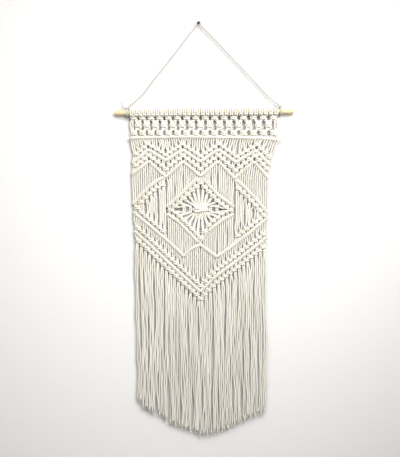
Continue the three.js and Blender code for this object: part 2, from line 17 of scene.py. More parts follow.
import bmesh
import bpy
import numpy as np
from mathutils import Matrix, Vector


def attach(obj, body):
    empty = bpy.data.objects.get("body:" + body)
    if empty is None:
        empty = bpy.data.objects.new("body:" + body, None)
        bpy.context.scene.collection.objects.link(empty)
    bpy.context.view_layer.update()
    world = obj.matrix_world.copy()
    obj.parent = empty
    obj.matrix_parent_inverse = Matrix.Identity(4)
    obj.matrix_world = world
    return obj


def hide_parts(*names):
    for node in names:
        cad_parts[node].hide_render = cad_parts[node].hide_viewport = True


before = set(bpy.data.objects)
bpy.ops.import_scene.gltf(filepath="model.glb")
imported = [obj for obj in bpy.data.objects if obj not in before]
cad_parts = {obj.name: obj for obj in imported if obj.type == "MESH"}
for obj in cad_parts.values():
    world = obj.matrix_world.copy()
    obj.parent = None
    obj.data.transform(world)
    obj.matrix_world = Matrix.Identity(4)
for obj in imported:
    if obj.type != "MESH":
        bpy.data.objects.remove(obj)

LOG = logging.getLogger("wall_hanging")
MM = 0.001
ROOT = "root"
TURN = 2 * math.pi
SAME_PLACE = 0.7  # millimetres between points that count as one
PARALLEL = 1e-3  # length of the cross product of two directions that count as parallel
Place = tuple[float, float, float]


# ---- where everything hangs ----


@dataclass(frozen=True)
class Line:
    """The course of a bar or an edge over the cloth, straight from corner to corner.

    Args:
        corners: places as (strand, drop), from left to right.
    """

    corners: tuple[tuple[float, float], ...]

    @property
    def first(self) -> float:
        """Strand where the line starts."""
        return self.corners[0][0]

    @property
    def last(self) -> float:
        """Strand where the line ends."""
        return self.corners[-1][0]

    def drop(self, strand: float) -> float:
        """Drop of the line at a strand."""
        return float(np.interp(strand, *zip(*self.corners)))


@dataclass(frozen=True)
class Layout:
    """The cloth's outline and the dowel that it hangs from."""

    strands: int = 64
    hang_plane: float = -11.0
    centre_x: float = 4.1
    dowel_radius: float = 6.0
    dowel_left: tuple[float, float] = (-202.0, 215.8)
    dowel_right: tuple[float, float] = (227.5, 211.7)
    # Columns: drop, left edge's x, right edge's x.
    edges: tuple[Place, ...] = (
        (245, -166, 191.5), (276, -165, 192.5), (317, -159.5, 180.5), (372, -161.5, 168.5),
        (449, -157.5, 166.5), (533, -153, 164), (665, -149.5, 163), (905, -148, 162),
    )

    def x(self, strand: float, drop: float) -> float:
        """Place across the cloth of a strand at a drop, with even changes of the spacing.

        Args:
            strand: place in strands from the left edge.
            drop: distance below the nail.

        Returns:
            The x coordinate in millimetres.
        """
        drops, lefts, rights = zip(*self.edges)
        left = self.centre_x - np.interp(drop, drops, lefts)
        right = np.interp(drop, drops, rights) - self.centre_x
        side = 2 * strand / self.strands - 1
        return float(self.centre_x + side * (right + left) / 2 + side * side * (right - left) / 2)

    def dowel_drop(self, x: float) -> float:
        """Drop of the dowel's axis at a place along it."""
        return float(np.interp(x, *zip(self.dowel_left, self.dowel_right)))


LAYOUT = Layout()
TOP_BAR = Line(((0, 277), (4, 275), (23, 273), (48, 274.5), (60, 277), (64, 281)))
UPPER_ZIGZAG = Line(
    ((0, 336), (8, 304), (16, 330), (24, 304.5), (32, 333), (40, 304), (48, 334.5), (56, 306), (64, 345))
)
LOWER_ZIGZAG = Line(
    ((0, 364), (8, 332), (16, 369.5), (24, 332.5), (32, 367.5), (40, 332.5), (48, 373), (56, 333), (64, 374))
)
LEFT_SHOULDER = Line(((0, 436), (3.6, 415.5), (8.5, 391), (12.3, 377), (16, 369.5)))
RIGHT_SHOULDER = Line(((48, 373), (52.9, 395), (57.7, 420), (64, 458)))
DIAMOND_TOP = Line(((16, 442), (22.4, 413), (27.1, 390), (32, 367.5), (39.8, 410.5), (48, 442)))
DIAMOND_FOOT = Line(((16, 458), (20.8, 474), (25.6, 498), (32, 532), (36.6, 497), (42.3, 473), (48, 459)))
WAIST = Line(
    (
        (0, 454), (7.8, 487), (17.2, 528), (24, 560), (26.9, 544), (29.4, 537),
        (32, 532), (37.1, 551), (40, 561), (46.3, 539), (55.7, 503), (64, 468),
    )
)
VEE = Line(((0, 499), (7.4, 533), (17.1, 578.5), (32, 645), (39.1, 609.5), (48.7, 574.5), (64, 514)))
TIPS = Line(
    (
        (0, 904), (4.4, 930), (12, 944), (17, 965), (28, 981), (33, 993),
        (41, 985), (47, 972), (55.6, 951), (64, 935),
    )
)


@dataclass(frozen=True)
class Partings:
    """Places where neighbouring strands part and leave a slot.

    Args:
        slots: strand, drop, width and half length of each slot.
        reach: number of strands on either side that make room for it.
    """

    slots: tuple[tuple[float, float, float, float], ...]
    reach: float

    def shift(self, strand: float, drop: float) -> float:
        """How far a strand moves sideways to make room, in millimetres.

        Args:
            strand: place in strands from the left edge.
            drop: distance below the nail.

        Returns:
            The shift, to the right.
        """
        total = 0.0
        for middle, height, width, half_length in self.slots:
            beside = max(1 - abs(strand - middle) / self.reach, 0)
            near = min(abs(drop - height) / half_length, 1)
            total += math.copysign(width * beside * (1 + math.cos(math.pi * near)) / 4, strand - middle)
        return total


SLOTS = Partings(
    (
        (13, 296, 4, 16), (19, 292, 3, 14), (22, 296, 3, 14), (36, 296, 4, 16), (48, 296, 4, 18),
        (55, 294, 3, 14), (16, 386, 6, 30), (16, 455, 3, 90), (48, 448, 6, 90), (40, 380, 4, 40),
        (37, 385, 3, 34), (6, 446, 5, 34), (12, 432, 4.5, 70), (10, 468, 4, 22), (57, 452, 5, 38),
        (51, 492, 4, 20), (53, 470, 3, 40), (8, 420, 3, 20), (45, 520, 3, 40), (20, 400, 2.5, 30),
        (24, 380, 2.5, 30),
    ),
    reach=4.0,
)


# ---- cords ----


@dataclass(frozen=True)
class TwistedCord:
    """Three plies laid up into one cord.

    Args:
        radius: half of the cord's thickness, over the crests of its plies.
        lay: length of one full turn of the plies.
        plies: number of plies.
        crown: radii round one ply as shares of the cord's, from its crest.
    """

    radius: float = 2.0
    lay: float = 16.0
    plies: int = 3
    crown: tuple[float, ...] = (1.0, 0.8, 0.8)

    @property
    def sides(self) -> int:
        """Points round the cord."""
        return self.plies * len(self.crown)


COTTON_CORD = TwistedCord()


@dataclass(frozen=True)
class Slack:
    """How a strand hangs free between two knots, in millimetres."""

    least_fall: float = 9.0
    point_spacing: float = 14.0
    unevenness: float = 0.22
    spreads_over: float = 7.0
    cord: float = 2.5


SLACK = Slack()


@dataclass
class Route:
    """The way of one cord, as points that it passes smoothly, in millimetres.

    Args:
        points: x, y and z of each point.
        radii: the cord's radius there, smaller where a knot squeezes it.
        steps: distance between rings of the mesh there.
        strand: number of the strand, if the cord is one.
        drawn: whether its next span is pulled straight.
    """

    points: list[Place] = field(default_factory=list)
    radii: list[float] = field(default_factory=list)
    steps: list[float] = field(default_factory=list)
    strand: int = 0
    drawn: bool = False

    def pass_by(self, x: float, forward: float, drop: float, radius: float = 2.0, step: float = 2.3) -> None:
        """Adds a point, unless it lies on the one before.

        Args:
            x: place across the cloth.
            forward: distance in front of the hang plane.
            drop: distance below the nail.
            radius: the cord's radius.
            step: distance between rings of the mesh.
        """
        point = (x, LAYOUT.hang_plane - forward, -drop)
        if not self.points or math.dist(point, self.points[-1]) > SAME_PLACE:
            self.points.append(point)
            self.radii.append(radius)
            self.steps.append(step)

    def hang_to(self, x: float, forward: float, drop: float, sway: np.random.Generator) -> None:
        """Lets the strand hang down to a place, if that is far enough to add points on the way.

        Unless it is drawn straight, it spreads to its own place between its neighbours.

        Args:
            x: place across the cloth to hang to.
            forward: distance in front of the hang plane there.
            drop: drop to hang to.
            sway: source of the small unevenness.
        """
        from_x, from_y, from_z = self.points[-1]
        fall = drop + from_z
        if fall < SLACK.least_fall:
            return
        count = max(2, round(fall / SLACK.point_spacing))
        for share in np.arange(1, count + 1) / (count + 1):
            here = fall * share - from_z
            uneven_x, uneven_y = sway.normal(0, SLACK.unevenness, 2)
            free = 0.0 if self.drawn else min(1.0, fall * min(share, 1 - share) / SLACK.spreads_over)
            eased = share * share * (3 - 2 * share)
            ahead = (LAYOUT.hang_plane - from_y) * (1 - share) ** 2 + forward * share**2
            straight = from_x + (x - from_x) * (share if self.drawn else eased)
            place = LAYOUT.x(self.strand + 0.5, here) + SLOTS.shift(self.strand + 0.5, here)
            across = straight + (place - straight) * free + uneven_x
            self.pass_by(across, ahead + uneven_y, here, radius=SLACK.cord)
        self.drawn = False

    def part(self, start: int, end: int | None = None) -> "Route":
        """The route from one point up to another, in a route of its own."""
        return Route(self.points[start:end], self.radii[start:end], self.steps[start:end])

    def smooth(self) -> tuple[np.ndarray, np.ndarray, np.ndarray]:
        """Runs a curve through the points and sets rings along it.

        Returns:
            The rings' centres, their radii, and their distances along the cord.
        """
        points = np.array(self.points)
        ends = (2 * points[0] - points[1], 2 * points[-1] - points[-2])
        hull = np.vstack([ends[0], points, ends[1]])
        knots = np.concatenate([[0], np.cumsum(np.sqrt(np.linalg.norm(np.diff(hull, axis=0), axis=1)))])
        dense = np.vstack([_catmull_rom(hull, knots), points[-1:]])
        count = len(points) - 1
        at_point = np.linspace(0, count, len(dense))
        along = np.concatenate([[0], np.cumsum(np.linalg.norm(np.diff(dense, axis=0), axis=1))])
        step = np.interp(at_point, np.arange(count + 1), self.steps)
        rings = np.concatenate([[0], np.cumsum(np.diff(along) / step[1:])])
        wanted = np.linspace(0, rings[-1], max(int(round(rings[-1])), 4) + 1)
        places = np.interp(wanted, rings, at_point)
        distances = np.interp(wanted, rings, along)
        centres = np.column_stack([np.interp(distances, along, dense[:, axis]) for axis in range(3)])
        return centres, np.interp(places, np.arange(count + 1), self.radii), distances


def _catmull_rom(hull: np.ndarray, knots: np.ndarray, samples: int = 10) -> np.ndarray:
    """Points of a centripetal curve through all but the first and last points of a hull.

    Args:
        hull: the points.
        knots: the curve's parameter at each of them.
        samples: points on each stretch of the curve.

    Returns:
        The points, without the curve's very end.
    """
    p0, p1, p2, p3 = hull[:-3, None], hull[1:-2, None], hull[2:-1, None], hull[3:, None]
    t0, t1, t2, t3 = (knots[i : len(knots) - 3 + i, None, None] for i in range(4))
    t = t1 + (t2 - t1) * (np.arange(samples) / samples)[None, :, None]
    a1 = (t1 - t) / (t1 - t0) * p0 + (t - t0) / (t1 - t0) * p1
    a2 = (t2 - t) / (t2 - t1) * p1 + (t - t1) / (t2 - t1) * p2
    a3 = (t3 - t) / (t3 - t2) * p2 + (t - t2) / (t3 - t2) * p3
    b1 = (t2 - t) / (t2 - t0) * a1 + (t - t0) / (t2 - t0) * a2
    b2 = (t3 - t) / (t3 - t1) * a2 + (t - t1) / (t3 - t1) * a3
    return ((t2 - t) / (t2 - t1) * b1 + (t - t1) / (t2 - t1) * b2).reshape(-1, 3)


class CordMesh:
    """Meshes many cords into one piece.

    Args:
        cord: how the cord is laid up.
    """

    def __init__(self, cord: TwistedCord = COTTON_CORD) -> None:
        """Starts an empty piece."""
        self.cord = cord
        self.vertices: list[np.ndarray] = []
        self.quads: list[np.ndarray] = []
        self.caps: list[np.ndarray] = []
        self.uvs: list[np.ndarray] = []
        self.cap_uvs: list[np.ndarray] = []
        self.tones: list[np.ndarray] = []
        self.count = 0

    def add(self, route: Route, tone: float = 0.5, turn: float = 0.0) -> float:
        """Adds one cord.

        Args:
            route: the way it goes.
            tone: its shade, from 0 (dark) to 1 (light).
            turn: turn of its plies at the start, in radians.

        Returns:
            Its length in millimetres.
        """
        centres, radii, along = route.smooth()
        normals, binormals = _frames(centres)
        sides = self.cord.sides
        around = TURN * np.arange(sides) / sides
        angles = around[None, :] + TURN * along[:, None] / self.cord.lay + turn
        reach = radii[:, None] * np.tile(self.cord.crown, self.cord.plies)[None, :]
        ring = (
            centres[:, None, :]
            + (reach * np.cos(angles))[:, :, None] * normals[:, None, :]
            + (reach * np.sin(angles))[:, :, None] * binormals[:, None, :]
        )
        rings = len(centres)
        self.vertices.append(ring.reshape(-1, 3) * MM)
        index = np.arange(rings * sides).reshape(rings, sides) + self.count
        beside = np.roll(index, -1, axis=1)
        self.quads.append(np.stack([index[:-1], beside[:-1], beside[1:], index[1:]], axis=-1).reshape(-1, 4))
        self.caps.extend([index[0][::-1], index[-1]])
        u = np.broadcast_to(np.arange(sides) / sides, (rings, sides))
        v = np.broadcast_to(along[:, None] * MM, (rings, sides))
        width = 1 / sides
        corners = [(u[:-1], v[:-1]), (u[:-1] + width, v[:-1]), (u[1:] + width, v[1:]), (u[1:], v[1:])]
        self.uvs.append(np.stack([np.stack(corner, axis=-1) for corner in corners], axis=2).reshape(-1, 2))
        for end in (0, -1):
            self.cap_uvs.append(np.column_stack([u[0], np.full(sides, along[end] * MM)]))
        self.tones.append(np.full(rings * sides, tone))
        self.count += rings * sides
        return float(along[-1])

    def build(self, name: str) -> bpy.types.Object:
        """Makes the Blender object.

        Args:
            name: its name.

        Returns:
            The object, at the origin.
        """
        quads = np.vstack(self.quads)
        corners = np.concatenate([quads.ravel(), *self.caps])
        sizes = np.concatenate([np.full(len(quads), 4), np.full(len(self.caps), self.cord.sides)])
        mesh = bpy.data.meshes.new(name)
        mesh.vertices.add(self.count)
        mesh.vertices.foreach_set("co", np.vstack(self.vertices).ravel())
        mesh.loops.add(len(corners))
        mesh.loops.foreach_set("vertex_index", corners.astype(np.int32))
        mesh.polygons.add(len(sizes))
        mesh.polygons.foreach_set("loop_start", (np.cumsum(sizes) - sizes).astype(np.int32))
        mesh.update(calc_edges=True)
        mesh.shade_smooth()
        mesh.uv_layers.new(name="lay").uv.foreach_set("vector", np.vstack(self.uvs + self.cap_uvs).ravel())
        mesh.attributes.new("tone", "FLOAT", "POINT").data.foreach_set("value", np.concatenate(self.tones))
        piece = bpy.data.objects.new(name, mesh)
        bpy.context.scene.collection.objects.link(piece)
        return piece


def _frames(centres: np.ndarray) -> tuple[np.ndarray, np.ndarray]:
    """Two directions square to a path at each of its points, which don't turn about it.

    Args:
        centres: the path's points.

    Returns:
        The first and the second directions.
    """
    tangents = np.gradient(centres, axis=0)
    tangents /= np.linalg.norm(tangents, axis=1)[:, None]
    start = np.cross(tangents[0], (0.0, 1.0, 0.0))
    length = np.linalg.norm(start)
    normal = start / length if length > PARALLEL else np.array((1.0, 0.0, 0.0))
    normals = np.empty_like(centres)
    for number, tangent in enumerate(tangents):
        normal = normal - tangent * (normal @ tangent)
        normal /= math.sqrt(normal @ normal)
        normals[number] = normal
    return normals, np.cross(tangents, normals)


# ---- knots and bars ----


class Role(Enum):
    """What a strand does in a square knot of four."""

    LEFT_WORKER = -2
    LEFT_CORE = -1
    RIGHT_CORE = 0
    RIGHT_WORKER = 1


def _and_back(half: tuple[Place, ...]) -> tuple[Place, ...]:
    """A way down to a knot's middle, followed by the same way mirrored below it."""
    return half + tuple((right, -down, forward) for right, down, forward in half[-2::-1])


# Ways through a square knot. Columns: right and down from the knot's middle, and forward.
SQUARE_KNOT: dict[Role, tuple[Place, ...]] = {
    Role.LEFT_WORKER: _and_back((
        (-4.2, -3.9, 0.4), (-4.0, -2.7, 1.8), (-2.5, -2.2, 3.2), (0, -2.0, 3.7), (2.5, -1.8, 3.2),
        (4.3, -1.2, 1.4), (4.7, 0, 0.0),
    )),
    Role.LEFT_CORE: _and_back(((-1.8, -3.9, 0), (-1.6, 0, 0))),
    Role.RIGHT_CORE: _and_back(((1.8, -3.9, 0), (1.6, 0, 0))),
    Role.RIGHT_WORKER: _and_back((
        (4.2, -3.9, 0.4), (4.9, -3.2, 2.3), (5.8, -2.3, 1.5), (5.2, -1.8, -1.6), (2.4, -1.8, -3.4),
        (-2.4, -1.8, -3.4), (-4.7, -1.4, -1.9), (-5.6, -0.9, 0.3), (-5.3, 0, 2.0),
    )),
}


class Station:
    """A knot, a bar or another place that leads some strands through it.

    Places are given as x, forward and drop. A subclass has its own strands, its own drop or
    `drop_of`, and its own course.
    """

    strands: range
    drop: float
    step: ClassVar[float] = 1.55  # distance between rings of the mesh
    draws: ClassVar[bool] = False  # whether it pulls the strands straight above and below it

    def drop_of(self, strand: int) -> float:
        """Drop by which a strand's stations are put in order."""
        return self.drop

    def course(self, strand: int) -> tuple[Place, list[Place], float]:
        """Works out a strand's way through it.

        Args:
            strand: the strand's number.

        Returns:
            Where the strand hangs down to, the places that it then passes, and the cord's radius.
        """
        raise NotImplementedError

    def guide(self, route: Route, sway: np.random.Generator) -> None:
        """Leads a strand's route down to it and through it.

        Args:
            route: the strand's route so far.
            sway: source of the small unevenness.
        """
        arrival, places, radius = self.course(route.strand)
        route.drawn = route.drawn or self.draws
        route.hang_to(*arrival, sway)
        for place in places:
            route.pass_by(*place, radius=radius, step=self.step)
        route.drawn = route.drawn or self.draws


@dataclass(frozen=True)
class SquareKnot(Station):
    """A square knot of four strands, two of them tied round the other two.

    Args:
        middle: strand in its middle, between its two cores.
        drop: drop of its middle.
        height: its height as a share of the usual one.
        width: its width as a share of the usual one.
        cord: radius of the cord in it.
        slant: how much lower its right side lies than its left one, for each millimetre across.
    """

    middle: int
    drop: float
    height: float = 1.0
    width: float = 1.18
    cord: float = 2.35
    slant: float = 0.0
    crossing_height: float = 1.12
    crossing_reach: float = 3.0

    @property
    def strands(self) -> range:
        """The four strands."""
        return range(self.middle - 2, self.middle + 2)

    def course(self, strand: int) -> tuple[Place, list[Place], float]:
        """Works out a strand's way through the knot, as `Station.course` says.

        Args:
            strand: the strand's number.

        Returns:
            Its arrival, its places and its radius.
        """
        x = LAYOUT.x(self.middle, self.drop)
        crossing = min(self.height, self.crossing_height)
        places = []
        for right, down, forward in SQUARE_KNOT[Role(strand - self.middle)]:
            across = right * self.width
            share = crossing if abs(down) < self.crossing_reach else self.height
            places.append((x + across, forward, self.drop + down * share + across * self.slant))
        return places[0], places, self.cord


@dataclass(frozen=True)
class HitchBar(Station):
    """A bar: each strand makes a double half hitch round the cord that runs along it.

    Args:
        line: the bar's course.
        strands: numbers of the strands that are hitched to it.
        wrap_radius: distance of the hitches' middle from the bar's axis.
    """

    line: Line
    strands: range
    wrap_radius: float = 3.15
    # A hitch's turn from above the bar over its front, in degrees, and the points on it.
    wrap: tuple[float, float, int] = (15.0, 525.0, 13)
    thickest: float = 2.05
    pitch_share: float = 0.33
    approach: float = 1.5
    core_cord: float = 1.7
    core_step: float = 3.0
    core_spacing: float = 0.5

    def drop_of(self, strand: int) -> float:
        """Drop by which a strand's stations are put in order."""
        return self.line.drop(strand + 0.5)

    def place(self, strand: float) -> np.ndarray:
        """x and drop of the bar's axis at a strand."""
        drop = self.line.drop(strand)
        return np.array((LAYOUT.x(strand, drop), drop))

    def course(self, strand: int) -> tuple[Place, list[Place], float]:
        """Works out a strand's way twice round the bar's front, as `Station.course` says.

        Args:
            strand: the strand's number.

        Returns:
            Its arrival, its places and its radius.
        """
        middle = self.place(strand + 0.5)
        before = self.place(max(strand - 0.5, self.line.first))
        after = self.place(min(strand + 1.5, self.line.last))
        along = after - before
        pitch = np.linalg.norm(along) / 2
        along /= np.linalg.norm(along)
        if along[1] < 0:
            along = -along
        up = np.array((along[1], -along[0])) if along[0] > 0 else np.array((-along[1], along[0]))
        start, end, count = self.wrap
        places = []
        for turn in np.linspace(math.radians(start), math.radians(end), count):
            ahead = (turn - 1.5 * math.pi) / math.pi * pitch / 4
            place = middle + along * ahead + up * self.wrap_radius * math.cos(turn)
            places.append((place[0], self.wrap_radius * math.sin(turn), place[1]))
        cord = min(self.thickest, self.pitch_share * pitch)
        return (places[0][0], 0.0, places[0][2] - self.approach), places, cord

    def core(self) -> Route:
        """Works out the way of the cord inside the bar.

        Returns:
            The cord's route.
        """
        route = Route()
        for strand in np.arange(self.line.first + self.core_spacing / 2, self.line.last, self.core_spacing):
            x, drop = self.place(float(strand))
            route.pass_by(x, 0.0, drop, self.core_cord, self.core_step)
        return route


@dataclass(frozen=True)
class Bow(Station):
    """A place beside the gathered knot towards which two strands bow without being tied.

    Args:
        first: the left one of the two strands.
        shift: how far they bow, in strands.
        drop: drop of the gathered knot.
    """

    first: int
    shift: float
    drop: float
    spacing: float = 4.0
    half_length: float = 6.0
    forward: float = 0.3
    cord: float = 2.1
    step: ClassVar[float] = 2.3
    draws: ClassVar[bool] = True

    @property
    def strands(self) -> range:
        """The two strands."""
        return range(self.first, self.first + 2)

    def course(self, strand: int) -> tuple[Place, list[Place], float]:
        """Works out a strand's way past the gathered knot, as `Station.course` says.

        Args:
            strand: the strand's number.

        Returns:
            Its arrival, its places and its radius.
        """
        x = LAYOUT.x(self.first + 1 + self.shift, self.drop) + self.spacing * (strand - self.first - 0.5)
        straight = (-self.half_length, 0, self.half_length)
        places = [(x, self.forward, self.drop + down) for down in straight]
        return (x, 0.0, self.drop - self.half_length), places, self.cord


@dataclass(frozen=True)
class GatheredKnot(Station):
    """The large square knot in the diamond's middle: two strands of each side tied round the rest."""

    x: float = 4.6
    drop: float = 447.5
    strands: range = range(24, 40)
    core_pitch: float = 2.3
    core_depth: float = 1.2
    core_drops: tuple[float, ...] = (-8.5, -3, 3, 8.5)
    half_width: float = 15.0
    half_depth: float = 4.6
    rows: tuple[float, float] = (4.4, 1.5)
    slant: float = 2.6
    bulge: float = 0.6
    row_bulge: float = 0.35
    lead_inset: float = 1.0
    lead_height: float = 5.0
    cord: float = 2.3
    # Over the others, as shares. Columns: of the half width, of the half depth.
    crossing: tuple[tuple[float, float], ...] = ((0.98, 0.25), (0.75, 0.8), (0, 1.0), (-0.7, 0.85))
    # Back round the side, as shares. Columns: of the turn's reach, of the half depth, of the row.
    bend: tuple[Place, ...] = ((0.97, 0.25, -0.6), (1.02, 0, 0), (0.97, 0.25, 0.6))
    step: ClassVar[float] = 1.8
    draws: ClassVar[bool] = True

    def course(self, strand: int) -> tuple[Place, list[Place], float]:
        """Works out a strand's way through the knot, as `Station.course` says.

        Args:
            strand: the strand's number.

        Returns:
            Its arrival, its places and its radius.
        """
        from_left = strand - self.strands[0]
        from_right = self.strands[-1] - strand
        if min(from_left, from_right) >= len(self.rows):
            x = self.x + (strand + 0.5 - LAYOUT.strands / 2) * self.core_pitch
            forward = self.core_depth if strand % 2 else -self.core_depth
            places = [(x, forward, self.drop + down) for down in self.core_drops]
        else:
            side = -1 if from_left < from_right else 1
            places = self._round(side, self.rows[min(from_left, from_right)])
        return places[0], places, self.cord

    def _round(self, side: int, row: float) -> list[Place]:
        """Way of a strand that is tied round the others.

        Args:
            side: -1 for one from the left, which shows in front, 1 for one from the right.
            row: half the distance between its two crossings.

        Returns:
            Places as x, forward and drop.
        """
        wide, deep = self.half_width, -side * self.half_depth
        over = [(side * wide * across, deep * ahead) for across, ahead in self.crossing]
        slopes = [across * -side * self.slant / wide for across, _ in over]
        down = [(across, ahead, slope - row) for (across, ahead), slope in zip(over, slopes)]
        back = [(across, ahead, row - slope) for (across, ahead), slope in zip(over, slopes)]
        reach = -side * (wide + self.row_bulge * row + self.bulge)
        bend = [(reach * across, deep * ahead, row * low) for across, ahead, low in self.bend]
        at_side, above = side * (wide - self.lead_inset), row + self.lead_height
        lead, leave = (at_side, 0, -above), (at_side, 0, above)
        return [(self.x + x, y, self.drop + z) for x, y, z in [lead] + down + bend + back[::-1] + [leave]]


@dataclass(frozen=True)
class LarksHead:
    """A cord folded over the dowel: its fold lies across the front, over its own two strands."""

    reach: float = 8.1
    wrap_cord: float = 2.7
    cord: float = 2.3
    # Columns: distance from the head's middle, forward, below the dowel's axis, step between rings.
    fold: tuple[tuple[float, ...], ...] = ((0, 8.8, 6.2, 1.6), (2.4, 8.4, 6.4, 1.6))
    legs: tuple[tuple[float, ...], ...] = ((2.3, 5.2, 7.6, 1.6), (2.4, 2.0, 10.6, 1.8))
    # Columns: angle from the front over the top, in degrees; distance from the head's middle.
    turns: tuple[tuple[float, float], ...] = (
        (-62, 3.2), (-100, 3.0), (-140, 2.9), (180, 2.8), (140, 2.8),
        (100, 2.8), (60, 2.8), (20, 2.7), (-15, 2.5),
    )
    turn_step: float = 1.6

    def guide(self, route: Route) -> None:
        """Starts a strand's route at the middle of the fold and leads it over the dowel.

        Args:
            route: the strand's route, still empty.
        """
        side = 1 if route.strand % 2 else -1
        x = LAYOUT.x(2 * (route.strand // 2) + 1, LAYOUT.dowel_left[1])
        axis = LAYOUT.dowel_drop(x)
        for aside, forward, below, step in self.fold:
            route.pass_by(x + side * aside, forward, axis + below, radius=self.cord, step=step)
        for degrees, aside in self.turns:
            turn = math.radians(degrees)
            forward, above = self.reach * math.cos(turn), self.reach * math.sin(turn)
            route.pass_by(x + side * aside, forward, axis - above, self.wrap_cord, self.turn_step)
        for aside, forward, below, step in self.legs:
            route.pass_by(x + side * aside, forward, axis + below, radius=self.cord, step=step)


@dataclass(frozen=True)
class KnotRow:
    """Square knots side by side, each sharing two strands with the next.

    Args:
        line: the bar that the row follows.
        distance: how far below that bar it runs.
        middles: strands in the middle of its knots.
    """

    line: Line
    distance: float
    middles: range
    full_climb: float = 7.9
    tallest: float = 1.15
    tightness: float = 0.9
    lean: float = 0.3

    def knots(self) -> list[SquareKnot]:
        """Works out the row's knots, flatter where it climbs less.

        Returns:
            The knots, from left to right.
        """
        found = []
        for middle in self.middles:
            drop = self.line.drop(middle) + self.distance
            climbs = [
                abs(self.line.drop(middle + aside) - self.line.drop(middle))
                for aside in (-2, 2)
                if self.line.first <= middle + aside <= self.line.last
            ]
            run = LAYOUT.x(middle + 1, drop) - LAYOUT.x(middle - 1, drop)
            slope = (self.line.drop(middle + 1) - self.line.drop(middle - 1)) / run
            height = min(self.tallest, min(climbs) / self.full_climb)
            found.append(SquareKnot(middle, drop, height * self.tightness, slant=self.lean * slope))
        return found


# ---- the cloth and its fringe ----


